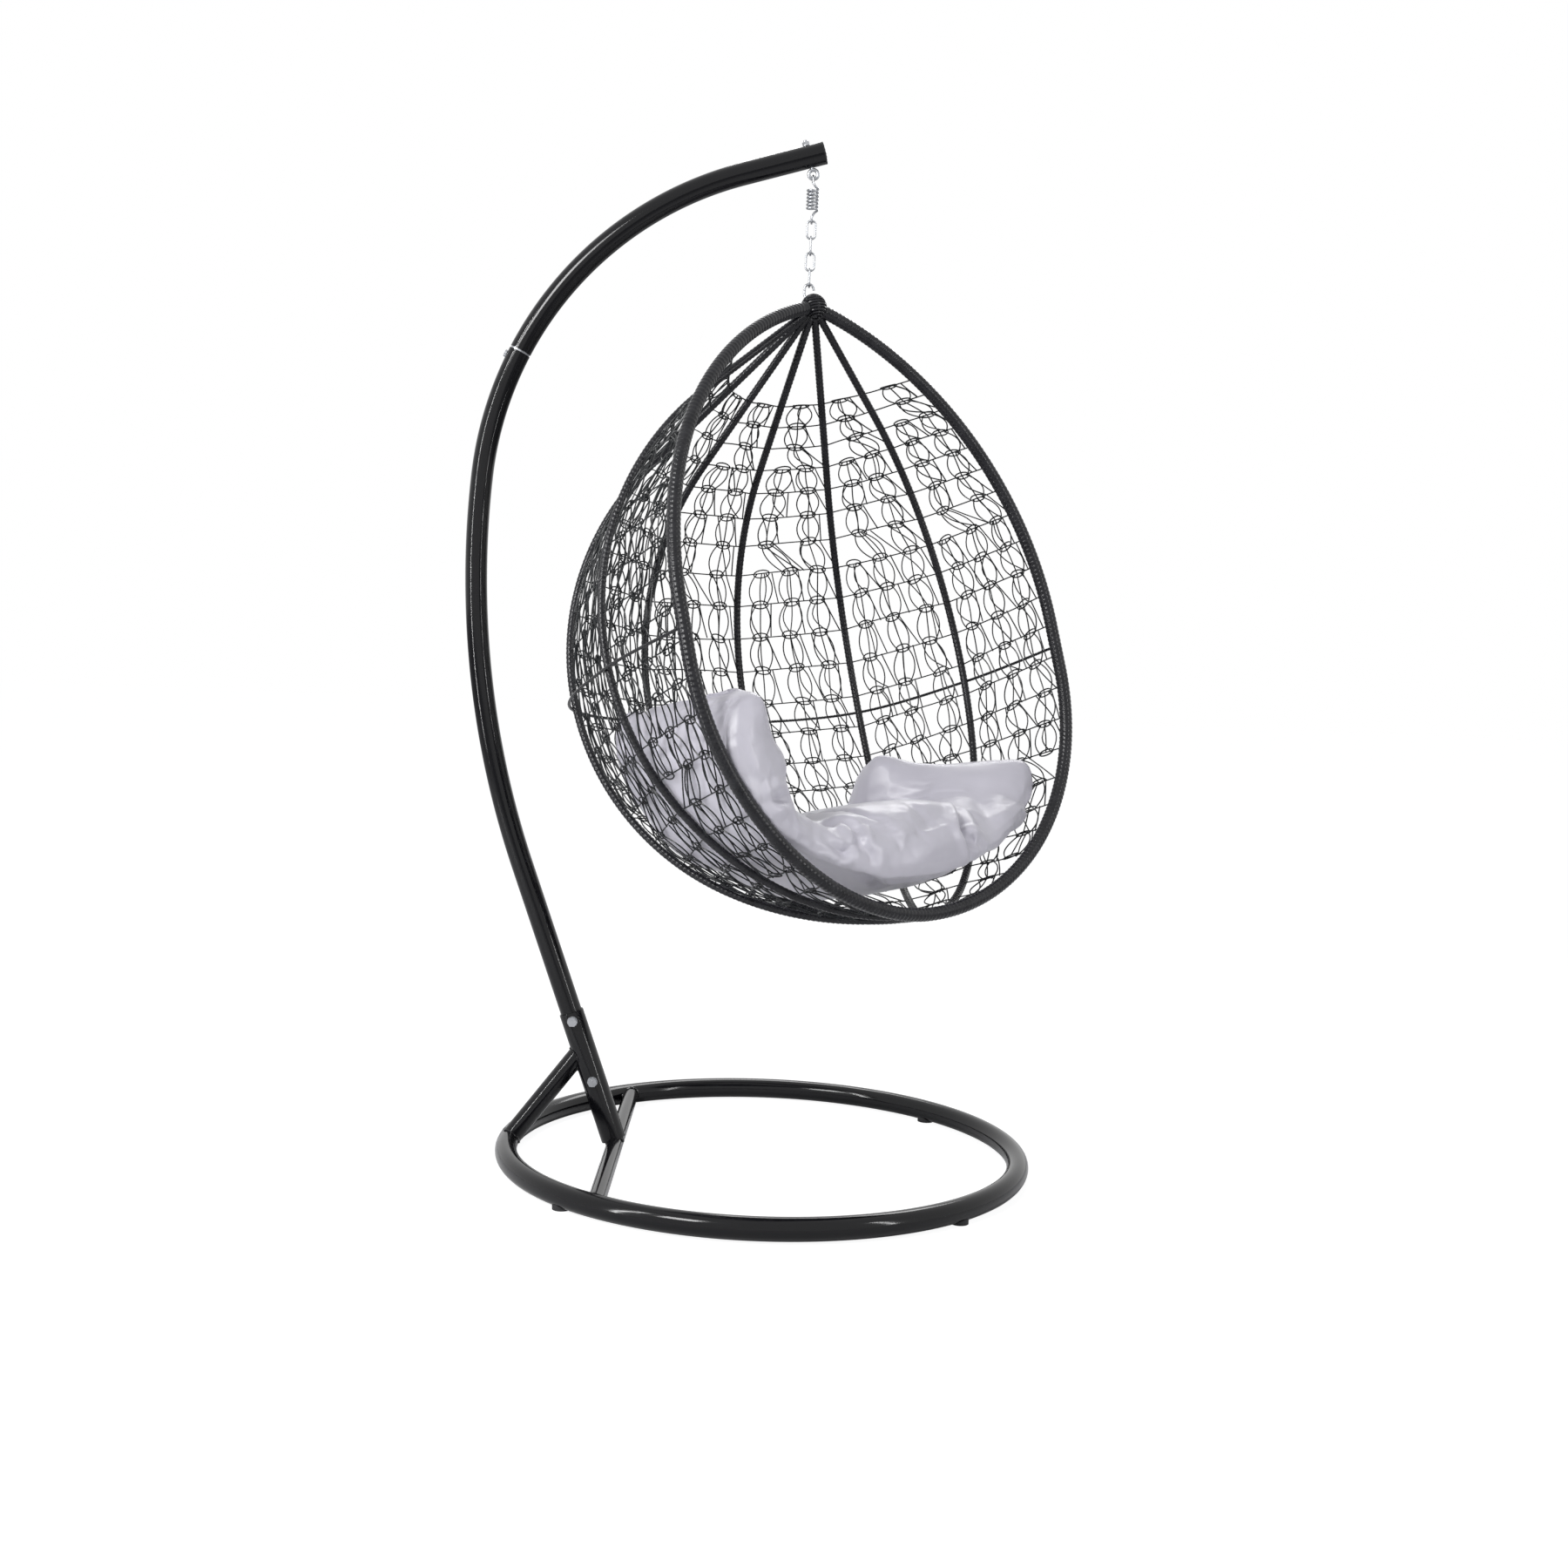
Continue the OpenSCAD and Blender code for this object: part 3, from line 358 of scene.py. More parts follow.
pole_insert, pole_straight, low_bow_r, top_bow_r, seam, tip_len = 0.200, 0.305, 1.740, 0.673, 0.0015, 0.158
lean_mid, lean_split, lean_end = (math.radians(v) for v in (5, 26, 73.5))
lean_upper = lean_split + seam / top_bow_r
top_steps = 400
foot = socket_foot[[0, 2]] + (socket_len - pole_insert) * socket_way[[0, 2]]
knee = socket_foot[[0, 2]] + (socket_len + pole_straight) * socket_way[[0, 2]]
low_bow = bow(knee, -socket_lean, low_bow_r, lean_mid, 60)
mid_bow = bow(low_bow[-1], lean_mid, top_bow_r, lean_split, 40)
whole_bow = bow(low_bow[-1], lean_mid, top_bow_r, lean_end, top_steps)
top_bow = whole_bow[np.linspace(lean_mid, lean_end, top_steps) >= lean_upper]
tip = top_bow[-1] + tip_len * np.array([math.sin(lean_end), math.cos(lean_end)])


def upright_plane(flat):
    return np.c_[flat[:, 0], np.zeros(len(flat)), flat[:, 1]]


lower_line = upright_plane(np.r_[[foot], low_bow, mid_bow[1:]])
upper_line = upright_plane(np.r_[top_bow[::4], [top_bow[-1]], [tip]])
placed(drawn_tube("pole_lower_half", [lower_line], tube_d, 32), "stand", "powder_coat",
       powder_coat, "lower_pole")
placed(drawn_tube("pole_upper_half", [upper_line], tube_d, 32), "stand", "powder_coat",
       powder_coat, "upper_pole")
zinc = finish_of("bright_zinc", (0.40, 0.41, 0.43), 0.3, metal=1.0, specular=0.5)
bumps(zinc, 700, 0.0002, 0.3)
varied(zinc, "Roughness", 0.22, 0.42, 120)
cap_plastic = finish_of("moulded_black_plastic", (0.018, 0.018, 0.019), 0.42)
bumps(cap_plastic, 1200, 0.0001)
varied(cap_plastic, "Roughness", 0.36, 0.5, 200)
give(zinc, "pole_spigot", "pole_joint_screw", "pole_joint_nut",
     "socket_bolts", "socket_washers", "socket_nuts")
give(cap_plastic, "pole_end_cap")

# ---- Eye bolt, spring, chain and basket hook ----
# Zinc plated steel: the eye bolt hangs from the pole's tip, the spring and four links take the bounce,
# the twist and the swing, and a hooked rod grows out of the basket's peak.
give(zinc, "eye_bolt", "eye_washer", "eye_nut")
give(zinc, *["chain_link_%d" % k for k in range(1, 5)])
hang_x = next(j["pos_m"][0] for j in frame["joints"] if j["name"] == "swing_fore_aft")
spring_mid = 1.86132
wire, coil_r, coil_high, hook_r, neck = 0.0045, 0.00975, 0.0405, 0.008, 0.016
coils, lead = 6, math.radians(60)
coil_turn = 2 * math.pi * coils + math.pi - 2 * lead


def coil_point(a):
    at = a - math.pi / 2 + lead
    return np.array([coil_r * math.cos(at), coil_r * math.sin(at), coil_high * (0.5 - a / coil_turn)])


def bezier(knots, t):
    shares = (1 - t) ** 3, 3 * (1 - t) ** 2 * t, 3 * (1 - t) * t * t, t ** 3
    return sum(share * knot for share, knot in zip(shares, knots))


loop_z = coil_high / 2 + neck
first = coil_point(0)
slope = (coil_point(0.02) - first) / np.linalg.norm(coil_point(0.02) - first)
neck_bend = 0.55 * neck
knots = [np.array([0, -hook_r, loop_z]), np.array([0, -hook_r, loop_z - neck_bend]),
         first - neck_bend * slope, first]
hook_over = [np.array([0, hook_r, loop_z - wire])] + [
    np.array([0, hook_r * math.cos(a), loop_z + hook_r * math.sin(a)]) for a in np.linspace(0, math.pi, 25)]
upper_hook = hook_over + [bezier(knots, t) for t in np.linspace(0, 1, 13)[1:-1]]
wound = [coil_point(a) for a in np.linspace(0, coil_turn, 200)]
lower_hook = [np.array([p[0], -p[1], -p[2]]) for p in reversed(upper_hook)]
spring_line = np.array(upper_hook + wound + lower_hook) + (hang_x, 0, spring_mid)
spring = drawn_tube("suspension_spring", [spring_line], wire, 12)
spring.data.materials.append(zinc)
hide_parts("spring")
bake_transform(spring)

# ---- Basket frame ----
# The mouth is one steel tube bent to an egg, six thin rods are welded to it at the peak and at the
# foot, and everything is wound with plastic ribbon.
peak = np.mean(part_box("hub"), axis=0)
swing, tilt = math.radians(-50), math.radians(18.5)
turn_out = np.array(Matrix.Rotation(swing, 3, "Z"))
lean_back = np.array(Matrix.Rotation(-tilt, 3, "Y"))
basket_turn = turn_out @ lean_back


def in_basket(points):
    """Points from the basket's own axes, +X out of the mouth and +Z up its long axis, to their places."""
    return np.asarray(points) @ basket_turn.T + peak


def bent_rod(heading, runs):
    """Distances along and (reach, height) of a rod bent through runs of (length, turn), from the peak."""
    here, points, run = np.zeros(2), [np.zeros(2)], [0.0]
    for length, bend in runs:
        steps = max(6, int(length / 0.004))
        for _ in range(steps):
            middle = heading - bend / steps / 2
            here = here + length / steps * np.array([math.sin(middle), -math.cos(middle)])
            heading -= bend / steps
            points.append(here)
            run.append(run[-1] + length / steps)
    return np.array(run), np.array(points)


basket_len, mouth_w, mouth_depth, rib_depth = 1.176, 0.465, 0.622, 0.632
mouth_radius = (mouth_depth ** 2 + mouth_w ** 2) / (2 * mouth_w)
mouth_spread = math.asin(mouth_depth / mouth_radius)
mouth_rod = bent_rod(mouth_spread, [(mouth_radius * mouth_spread, mouth_spread),
                                    (basket_len - mouth_depth - mouth_w, 0),
                                    (mouth_w * math.pi / 2, math.pi / 2)])


def rib_rod(reach, depth=rib_depth, spread=math.radians(57.5), under=math.radians(54.5)):
    upper_r = (depth * math.sin(spread) - reach * math.cos(spread)) / (1 - math.cos(spread))
    straight = (depth - upper_r * math.sin(spread)) / math.cos(spread)
    under_r = ((basket_len - depth) * math.cos(under) - (1 - math.sin(under)) * reach) / (
        math.sin(under) + math.cos(under) - 1)
    tight_r = (reach - under_r * (1 - math.cos(under))) / math.cos(under)
    last = math.pi / 2 - under
    return bent_rod(spread, [(straight, 0), (upper_r * spread, spread), (under_r * under, under),
                             (tight_r * last, last)])


mouth_turn = math.radians(93.6)
turns = [-mouth_turn] + [math.radians(-90 + k * 180 / 7) for k in range(1, 7)] + [mouth_turn]
rods = [mouth_rod] + [rib_rod(r) for r in (0.501, 0.585, 0.560, 0.560, 0.585, 0.501)] + [mouth_rod]
widest = [mouth_depth] + [rib_depth] * 6 + [mouth_depth]


def rod_at(i, s):
    run, points = rods[i]
    reach, height = np.interp(s, run, points[:, 0]), np.interp(s, run, points[:, 1])
    return np.stack([-reach * math.cos(turns[i]), reach * math.sin(turns[i]), height], axis=-1)


rod_paint = finish_of("frame_paint", (0.02, 0.02, 0.022), 0.4)
bumps(rod_paint, 500, 0.0002)
varied(rod_paint, "Roughness", 0.3, 0.5, 30)
give(rod_paint, "mouth_tube_frame", "rib_gusset", *["rib_rod_%d" % k for k in range(1, 7)])

peak_drop, root_out, stem_len = 0.036, 0.015, 0.012
bend_r, hook_d, bend_open = 0.0085, 0.005, math.radians(15)
bend_centre = np.array([hang_x, 0, peak[2] + peak_drop])
hook_knee = bend_centre + (-bend_r, 0, -stem_len)
hook_root = peak + root_out * (hook_knee - peak) / np.linalg.norm(hook_knee - peak)
rise = [hook_root, hook_root + (hook_knee - hook_root) * 0.6,
        hook_knee - (0, 0, hook_d), hook_knee + (0, 0, hook_d)]
stem = [bezier(rise, t) for t in np.linspace(0, 1, 12)]
over = [bend_centre + bend_r * np.array([math.cos(a), 0, math.sin(a)])
        for a in np.linspace(math.pi, bend_open, 24)]
end = over[-1] + hook_d * np.array([math.sin(bend_open), 0, -math.cos(bend_open)])
placed(drawn_tube("basket_hook_rod", [np.array(stem + over + [end])], hook_d, 16), "basket",
       "zinc_steel", zinc, "basket_hook")

# ---- Wound ribbon on the mouth, the ribs and the peak ----
# Half-round plastic ribbon about 9 mm wide, wound edge over edge, so every turn leaves a small step.
# It has a satin skin with a fine bumpy grain.
ribbon = finish_of("black_plastic_ribbon", (0.01, 0.01, 0.012), 0.28)
bumps(ribbon, 600, 0.0003, 0.4)
varied(ribbon, "Base Color", (0.005, 0.005, 0.007), (0.016, 0.016, 0.019), 45)
varied(ribbon, "Roughness", 0.18, 0.34, 70)


def carried_frames(line):
    along = np.gradient(line, axis=0)
    along /= np.linalg.norm(along, axis=1)[:, None]
    side = np.cross(along[0], (0.3, 0.5, 0.8))
    sides = []
    for t in along:
        side = side - (side @ t) * t
        side = side / np.linalg.norm(side)
        sides.append(side)
    sides = np.array(sides)
    return sides, np.cross(along, sides)


def wound_tube(name, line, diameter, around, pitch=0.009, step=0.0011, parts=5, rising=0.82):
    """A tube wound with ribbon: its skin rises across each turn and drops at the edge of the next."""
    line = np.asarray(line)
    run = np.r_[0, np.cumsum(np.linalg.norm(np.diff(line, axis=0), axis=1))]
    count = int(run[-1] / (pitch / parts))
    s = np.linspace(0, run[-1], count)
    line = np.c_[tuple(np.interp(s, run, line[:, k]) for k in range(3))]
    out_way, side_way = carried_frames(line)
    a = np.linspace(0, 2 * math.pi, around, endpoint=False)
    phase = (s[:, None] / pitch + a[None] / (2 * math.pi)) % 1.0
    lift = np.where(phase < rising, phase / rising, (1 - phase) / (1 - rising))
    radius = diameter / 2 - step * (1 - lift)
    points = line[:, None] + radius[..., None] * (np.cos(a)[None, :, None] * out_way[:, None]
                                                   + np.sin(a)[None, :, None] * side_way[:, None])
    points = points.reshape(-1, 3)
    k = np.arange(around)
    base = (np.arange(count - 1) * around)[:, None]
    beside = (k + 1) % around
    quads = np.stack([base + k, base + beside, base + around + beside, base + around + k], axis=-1)
    lids = [list(range(around))[::-1], list(range(len(points) - around, len(points)))]
    mesh = bpy.data.meshes.new(name)
    mesh.from_pydata(points.tolist(), [], quads.reshape(-1, 4).tolist() + lids)
    mesh.update()
    piece = bpy.data.objects.new(name, mesh)
    scene.collection.objects.link(piece)
    bpy.ops.object.select_all(action="DESELECT")
    piece.select_set(True)
    bpy.context.view_layer.objects.active = piece
    bpy.ops.object.shade_smooth_by_angle(angle=math.radians(30))
    return piece


def between(start, end, run):
    """Places along a rod, from start after its beginning to end before its end."""
    return np.linspace(start, run[-1] - end, 500)


hub_clear, mouth_wrap_d, rib_wrap_d = 0.016, 0.0255, 0.0155
mouth_run = between(hub_clear, 0.002, mouth_rod[0])
mouth_line = np.r_[in_basket(rod_at(0, mouth_run)), in_basket(rod_at(7, mouth_run[::-1]))]
placed(wound_tube("mouth_ribbon", mouth_line, mouth_wrap_d, 18), "basket", "wicker", ribbon, "mouth_wrap")
for i in range(1, 7):
    rib_line = in_basket(rod_at(i, between(hub_clear, 0.012, rods[i][0])))
    placed(wound_tube("rib_ribbon_%d" % i, rib_line, rib_wrap_d, 12, step=0.0009), "basket", "wicker",
           ribbon, "rib_wrap_%d" % i)

knob_r, winding_r, winding_d, winding_turns = 0.0215, 0.0228, 0.0044, 11
down = math.pi * (0.08 + 0.84 * np.linspace(0.0, 1.0, 420))
round_knob = 2 * math.pi * winding_turns * np.linspace(0.0, 1.0, 420)
winding = winding_r * np.c_[np.sin(down) * np.cos(round_knob), np.sin(down) * np.sin(round_knob),
                            -np.cos(down)]
knob_side = [(-knob_r * math.cos(t), knob_r * math.sin(t)) for t in np.linspace(0.001, math.pi - 0.001, 20)]
placed(turned_tube("peak_knob", peak, (0, 0, 1), knob_side, 32), "basket", "wicker", ribbon, "hub")
placed(drawn_tube("peak_winding", [in_basket(winding)], winding_d, 8), "basket", "wicker", ribbon)

# ---- Waist hoop ----
# A thin wound rod tied to the outside of the ribs, with both ends over the edge of the walls
# beside the mouth.
waist_depth, hoop_d = 0.666, 0.0062
off_mouth, off_wall, off_rib = 0.0125, 0.0051, 0.01036
hoop_points = []
for i, (run, points) in enumerate(rods):
    upper_part = len(points) * 2 // 3
    s = np.interp(waist_depth, -points[:upper_part, 1], run[:upper_part])
    hoop_points.append(rod_at(i, s))
hoop_points = np.array(hoop_points)
outward = np.array([[-math.cos(t), math.sin(t), 0] for t in turns])
ends = []
for mouth_k, rib_k in ((0, 1), (7, 6)):
    row_way = hoop_points[rib_k] - hoop_points[mouth_k]
    row_way /= np.linalg.norm(row_way)
    over_wall = outward[rib_k] - (outward[rib_k] @ row_way) * row_way
    over_wall /= np.linalg.norm(over_wall)
    ends.append(hoop_points[mouth_k] + off_mouth * row_way + off_wall * over_wall)
hoop_points[1:7] += off_rib * outward[1:7]
hoop_points[0], hoop_points[7] = ends
hoop_line = []
for k in range(7):
    a, b, c, d = (hoop_points[min(max(k + j, 0), 7)] for j in (-1, 0, 1, 2))
    for t in np.linspace(0, 1, 14)[:-1]:
        hoop_line.append(0.5 * ((2 * b) + (c - a) * t + (2 * a - 5 * b + 4 * c - d) * t * t
                                + (3 * b - a - 3 * c + d) * t ** 3))
hoop_line.append(hoop_points[-1])
hoop = wound_tube("waist_hoop_ribbon", in_basket(hoop_line), hoop_d, 10, pitch=0.007, step=0.0005)
placed(hoop, "basket", "wicker", ribbon, "waist_hoop")

# ---- Woven walls ----
# One long plastic cord is knotted into rows of linked ovals between the ribs: a taut row cord, a flat
# loop at each link, and for each oval two strands round it, one through it and two slack ones.
cord_d = 0.0027
weave_cord = finish_of("black_plastic_cord", (0.008, 0.009, 0.010), 0.3)
bumps(weave_cord, 900, 0.0002, 0.4)
varied(weave_cord, "Base Color", (0.004, 0.005, 0.006), (0.014, 0.016, 0.018), 30)
varied(weave_cord, "Roughness", 0.2, 0.36, 90)
upper_rows, lower_rows = 11, 12
rows = upper_rows + lower_rows
first_row_depth, last_row_share = 0.120, 0.93
upper_share = np.r_[0, np.cumsum(np.linspace(0.80, 1.20, upper_rows))]
upper_share /= upper_share[-1]
link_pitch, link_half_width, link_half_height = 0.082, 0.017, 0.12
oval_half_width = 0.0245
wall_edge, edge_link = 0.012, 0.016
rng = np.random.default_rng(7)


def row_run(i, row):
    run, points = rods[i]
    depth = -points[:, 1]
    top, waist = np.interp(first_row_depth, depth, run), np.interp(widest[i] - 1e-5, depth, run)
    if row <= upper_rows:
        return top + (waist - top) * np.interp(row, np.arange(upper_rows + 1), upper_share)
    return waist + (run[-1] - waist) * last_row_share * (row - upper_rows) / lower_rows


def wall_point(panel, row, part):
    """A point on the wall between two ribs, at a row and a part of the way across, and its outward way."""
    run_a, run_b = row_run(panel, row), row_run(panel + 1, row)
    a, b = rod_at(panel, run_a), rod_at(panel + 1, run_b)
    below_a, below_b = rod_at(panel, run_a + 0.002), rod_at(panel + 1, run_b + 0.002)
    way = np.cross((below_a - a) + (below_b - b), b - a)
    return a + (b - a) * part, way / np.linalg.norm(way)


def row_cord(panel, row):
    sag = rng.uniform(-0.05, 0.05)
    line = []
    for t in np.linspace(0, 1, 13):
        p, way = wall_point(panel, min(max(row + sag * math.sin(math.pi * t), 0), rows), t)
        line.append(p + way * 0.0008 * math.sin(9 * t + row))
    return line


def link_loop(panel, row, middle, half_part):
    lean = rng.uniform(-0.05, 0.05)
    loop = []
    for t in np.linspace(0, 2 * math.pi, 15)[:-1]:
        level = row + link_half_height * math.sin(t) + lean * math.cos(t)
        p, way = wall_point(panel, min(max(level, 0), rows), middle + half_part * math.cos(t))
        loop.append(p + way * 0.0022 * math.sin(t + 0.6))
    return loop


def oval_cords(panel, row, top, bottom, span, wall_width):
    """Two strands round an oval from one link to the next, one through it, one slack, one beside it."""
    half_part = min(oval_half_width, 0.33 * span) * rng.uniform(0.86, 1.1) / wall_width
    cords = []
    for side in (-1, 1):
        strand = []
        for t in np.linspace(0, 1, 10):
            bulge = math.sin(math.pi * (0.08 + 0.82 * t)) ** 0.7
            part = top + (bottom - top) * t + side * half_part * bulge
            p, way = wall_point(panel, min(row + t * 1.04, rows), part)
            strand.append(p + way * side * 0.0016 * math.cos(math.pi * t))
        cords.append(strand)
    through, slack, beside = [], [], []
    lean = rng.uniform(-0.10, 0.10) * half_part
    slack_from, slack_to, slack_bow = (rng.uniform(*ends) for ends in ((-1.1, 0.4), (-0.3, 1.2), (-0.9, 0.3)))
    for t in np.linspace(0, 1, 6):
        p, way = wall_point(panel, row + t, top + (bottom - top) * t + lean * math.sin(math.pi * t))
        through.append(p + way * 0.001)
    for t in np.linspace(0, 1, 8):
        swell = slack_from + (slack_to - slack_from) * t + slack_bow * math.sin(math.pi * t)
        p, way = wall_point(panel, row + t, top + (bottom - top) * t + swell * half_part)
        slack.append(p - way * 0.0012)
    beside_from, beside_to = rng.uniform(0.5, 1.2) * half_part, rng.uniform(1.0, 2.0) * half_part
    for t in np.linspace(0, 1, 7):
        part = top + (bottom - top) * t + beside_from + (beside_to - beside_from) * t
        p, way = wall_point(panel, row + t, min(part, 1 - 0.004 / wall_width))
        beside.append(p + way * 0.0014 * math.cos(2 * t))
    return cords + [through, slack, beside]


for panel in range(7):
    width = []
    for row in range(rows + 1):
        a, b = wall_point(panel, row, 0)[0], wall_point(panel, row, 1)[0]
        width.append(np.linalg.norm(b - a))
    counts = [max(1, int(round((w - wall_edge) / link_pitch))) for w in width]
    for k in range(1, rows + 1):
        counts[k] = min(max(counts[k], counts[k - 1] - 1), counts[k - 1] + 1)
    middles = []
    for n, w in zip(counts, width):
        edge = edge_link / w
        middles.append([edge + (1 - 2 * edge) * (j + 0.5 + rng.uniform(-0.09, 0.09)) / n for j in range(n)])
    lines, loops = [], []
    for row in range(rows + 1):
        lines.append(row_cord(panel, row))
        half_part = min(link_half_width, 0.20 * width[row] / counts[row] + 0.004) / width[row]
        loops += [link_loop(panel, row, middle, half_part) for middle in middles[row]]
    for row in range(rows):
        n, m = counts[row], counts[row + 1]
        shift = max(m - n, 0)
        span, wall_width = 0.5 * (width[row] / n + width[row + 1] / m), 0.5 * (width[row] + width[row + 1])
        for j in range(min(n, m)):
            bottom = middles[row + 1][min(j + shift, m - 1)]
            lines += oval_cords(panel, row, middles[row][j], bottom, span, wall_width)
    woven = drawn_tube("woven_wall_%d" % (panel + 1), [in_basket(line) for line in lines], cord_d, 6)
    links = drawn_tube("woven_links_%d" % (panel + 1), [in_basket(loop) for loop in loops],
                       1.1 * cord_d, 6, closed=True)
    placed(woven, "basket", "wicker", weave_cord, "weave_panel_%d" % (panel + 1))
    placed(links, "basket", "wicker", weave_cord)

# ---- Cushion ----
# One long padded seat bent up at both sides, sewn of satin polyester and filled with fibre.
# Pressure swells its plain form, but hardly where the wall backs it. Then its corners are pulled
# into place and the folds of the cloth are pressed in.
satin = finish_of("lilac_satin", (0.56, 0.545, 0.61), 0.34, specular=0.6)
shader = satin.node_tree.nodes["Principled BSDF"]
shader.inputs["Sheen Weight"].default_value = 0.15
shader.inputs["Sheen Roughness"].default_value = 0.4
bumps(satin, 1500, 0.0003, 0.35)
varied(satin, "Base Color", (0.52, 0.505, 0.57), (0.60, 0.585, 0.65), 6)
cell, drawn_in, cloth_steps = 0.0065, 0.004, 20
most_swell, wall_swell = 0.012, 0.0005
basket_middle = in_basket([0, 0, -0.55])


def per_vertex(data, what):
    values = np.empty(len(data.vertices) * 3)
    data.vertices.foreach_get(what, values)
    return values.reshape(-1, 3)


cushion = bpy.data.objects.new("seat_cushion", frame["nodes"]["cushion"].data.copy())
scene.collection.objects.link(cushion)
bpy.ops.object.select_all(action="DESELECT")
cushion.select_set(True)
bpy.context.view_layer.objects.active = cushion
bpy.ops.object.mode_set(mode="EDIT")
bpy.ops.mesh.select_all(action="SELECT")
bpy.ops.mesh.remove_doubles(threshold=1e-5)
bpy.ops.object.mode_set(mode="OBJECT")
plain_skin = BVHTree.FromPolygons([v.co.copy() for v in cushion.data.vertices],
                                  [tuple(face.vertices) for face in cushion.data.polygons])
cushion.data.remesh_voxel_size = cell
bpy.ops.object.voxel_remesh()
resting, ways = per_vertex(cushion.data, "co"), per_vertex(cushion.data, "normal")
cushion.data.vertices.foreach_set("co", (resting - drawn_in * ways).ravel())
cloth = cushion.modifiers.new("stuffing", "CLOTH")
cloth.settings.quality = 5
cloth.settings.mass = 0.3
cloth.settings.use_pressure = True
cloth.settings.uniform_pressure_force = 4.0
cloth.settings.shrink_min = cloth.settings.shrink_max = -0.10
cloth.settings.tension_stiffness = cloth.settings.compression_stiffness = 15
cloth.settings.bending_stiffness = 0.1
cloth.settings.effector_weights.gravity = 0
cloth.point_cache.frame_start, cloth.point_cache.frame_end = 1, cloth_steps
for step in range(1, cloth_steps + 1):
    scene.frame_set(step)
moved = per_vertex(cushion.evaluated_get(bpy.context.evaluated_depsgraph_get()).data, "co") - resting
far = np.linalg.norm(moved, axis=1)[:, None]
spread = resting - basket_middle
spread /= np.linalg.norm(spread, axis=1)[:, None]
to_wall = np.clip(0.5 + (ways * spread).sum(axis=1) / 0.3, 0, 1)
to_mouth = np.clip(((ways @ basket_turn)[:, 0] - 0.2) / 0.3, 0, 1)
most = (most_swell - (most_swell - wall_swell) * to_wall * (1 - to_mouth))[:, None]
moved *= np.minimum(1, most * np.tanh(far / most) / np.maximum(far, 1e-9))
cushion.modifiers.remove(cloth)
scene.frame_set(1)
cushion.data.vertices.foreach_set("co", (resting + moved).ravel())
cushion.data.update()

view_width = 1800


def on_cushion(right, down):
    """Where the camera's line of sight through a place in its view, 1800 across, meets the plain form."""
    x, y = ((v / view_width - 0.5) * sensor / lens for v in (right, down))
    place, _, _, _ = plain_skin.ray_cast(camera_place, (ahead + x * across - y * upward).normalized())
    return tuple(place)


def pulled(points, corner, shift, reach):
    fall = np.exp(-(np.linalg.norm(points - np.array(corner), axis=1) / reach) ** 2)
    return points + fall[:, None] * np.array(shift)


def creased(points, ways, line, depth, width):
    """The cloth pinched in along a line, with a soft ridge on either side; both die out at its ends."""
    line = np.asarray(line)
    best, along = np.full(len(points), 9.0), np.zeros(len(points))
    for k, (a, b) in enumerate(zip(line[:-1], line[1:])):
        t = np.clip((points - a) @ (b - a) / ((b - a) @ (b - a)), 0, 1)
        away = np.linalg.norm(points - a - t[:, None] * (b - a), axis=1)
        along = np.where(away < best, (k + t) / (len(line) - 1), along)
        best = np.minimum(best, away)
    fade = 0.35 + 0.65 * np.sin(math.pi * along)
    push = -depth * np.exp(-(best / width) ** 2) + 0.4 * depth * np.exp(-((best - 2 * width) / width) ** 2)
    return points + (push * fade)[:, None] * ways


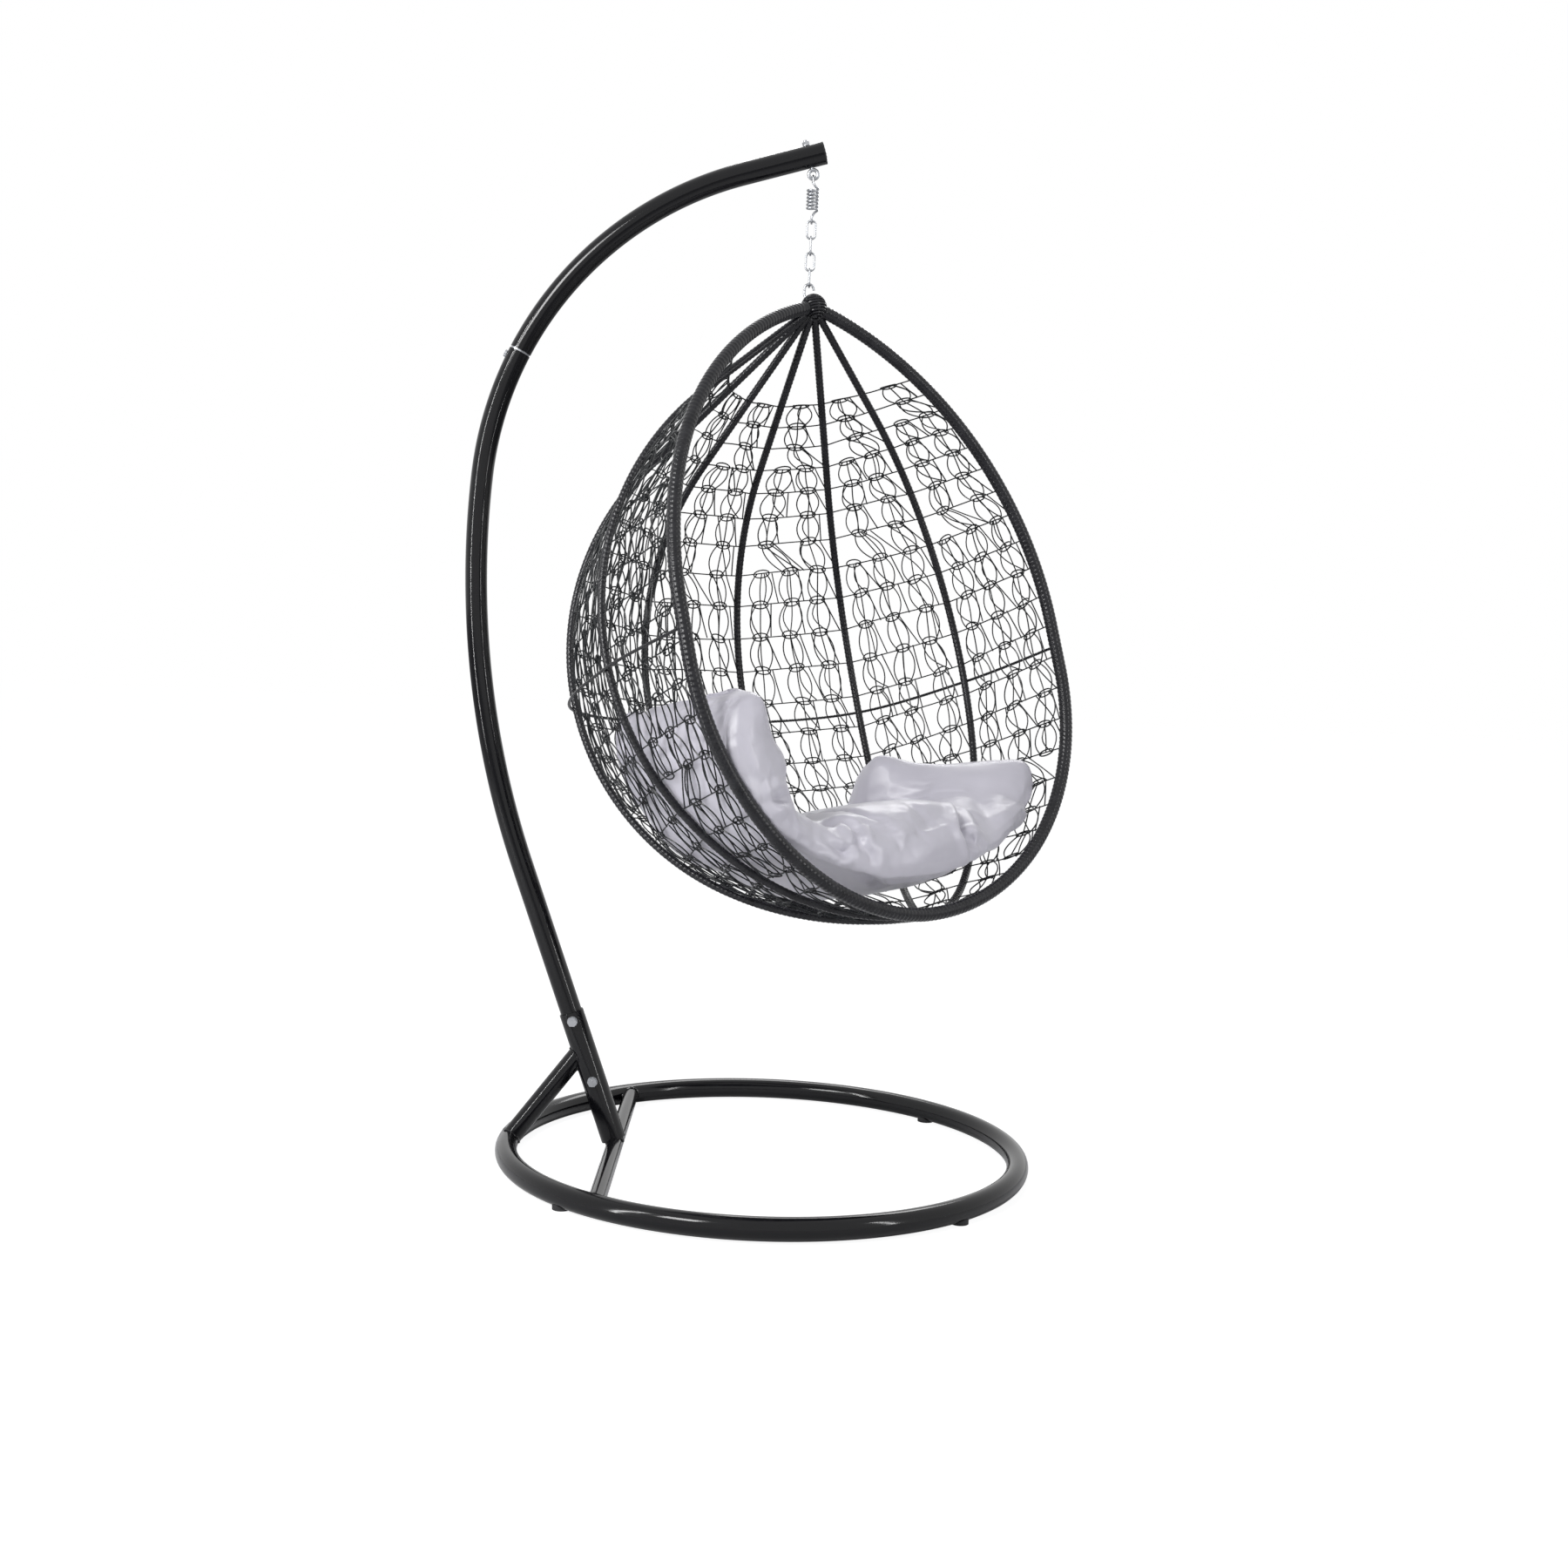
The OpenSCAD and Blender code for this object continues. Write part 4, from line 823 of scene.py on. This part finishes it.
# Each pull: where it is strongest, how far it goes and how wide it reaches
pulls = {
    "right_wing_up": (on_cushion(1010, 890), (-0.006, -0.004, 0.034), 0.045),
    "left_wing_up": ((-0.041, -0.458, 0.901), (0.014, 0.0, 0.016), 0.040),
    "left_wing_in": ((-0.020, -0.440, 0.830), (0.032, 0.004, 0.0), 0.050),
    "right_wing_down": ((0.430, -0.060, 0.760), (0.0, 0.0, -0.018), 0.070),
    "right_front_down": ((0.420, -0.160, 0.700), (0.004, -0.018, -0.030), 0.060)}
# Each fold: the points that it runs through, its depth and its width
folds = {
    "left_pinch": ([(0.028, -0.470, 0.755), on_cushion(896, 915), on_cushion(880, 921.5)], 0.014, 0.010),
    "seat_fold": ([on_cushion(951, 961), on_cushion(970, 979), on_cushion(985, 964)], 0.014, 0.009),
    "seat_left": ([(0.060, -0.390, 0.725), on_cushion(960, 950), on_cushion(1000, 985)], 0.012, 0.012),
    "seat_left_short": ([(0.120, -0.350, 0.710), on_cushion(985, 950), on_cushion(990, 975)], 0.011, 0.009),
    "front_left": ([on_cushion(990, 998), on_cushion(1003, 1009), on_cushion(1011, 1017)], 0.010, 0.010),
    "right_deep": ([(0.338, -0.150, 0.720), on_cushion(1107, 953), on_cushion(1112, 979)], 0.024, 0.011),
    "right_branch": ([on_cushion(1114, 961), (0.375, -0.190, 0.660)], 0.014, 0.009),
    "seat_valley": ([on_cushion(1086, 931), on_cushion(1048, 961), on_cushion(1026, 983)], 0.010, 0.020),
    "seat_middle": ([on_cushion(1040, 935), on_cushion(1010, 960)], 0.007, 0.016),
    "left_wing": ([on_cushion(850, 850), on_cushion(860, 890), on_cushion(880, 900)], 0.006, 0.014),
    "right_wing": ([on_cushion(1120, 905), on_cushion(1140, 940)], 0.009, 0.018)}
shape = per_vertex(cushion.data, "co")
for corner, shift, reach in pulls.values():
    shape = pulled(shape, corner, shift, reach)
for line, depth, width in folds.values():
    shape = creased(shape, per_vertex(cushion.data, "normal"), line, depth, width)
    cushion.data.vertices.foreach_set("co", shape.ravel())
    cushion.data.update()
smoother = cushion.modifiers.new("finer", "SUBSURF")
smoother.levels = smoother.render_levels = 1
bpy.ops.object.modifier_apply(modifier=smoother.name)
bpy.ops.object.shade_smooth()
placed(cushion, "basket", "cushion_fabric", satin, "cushion")
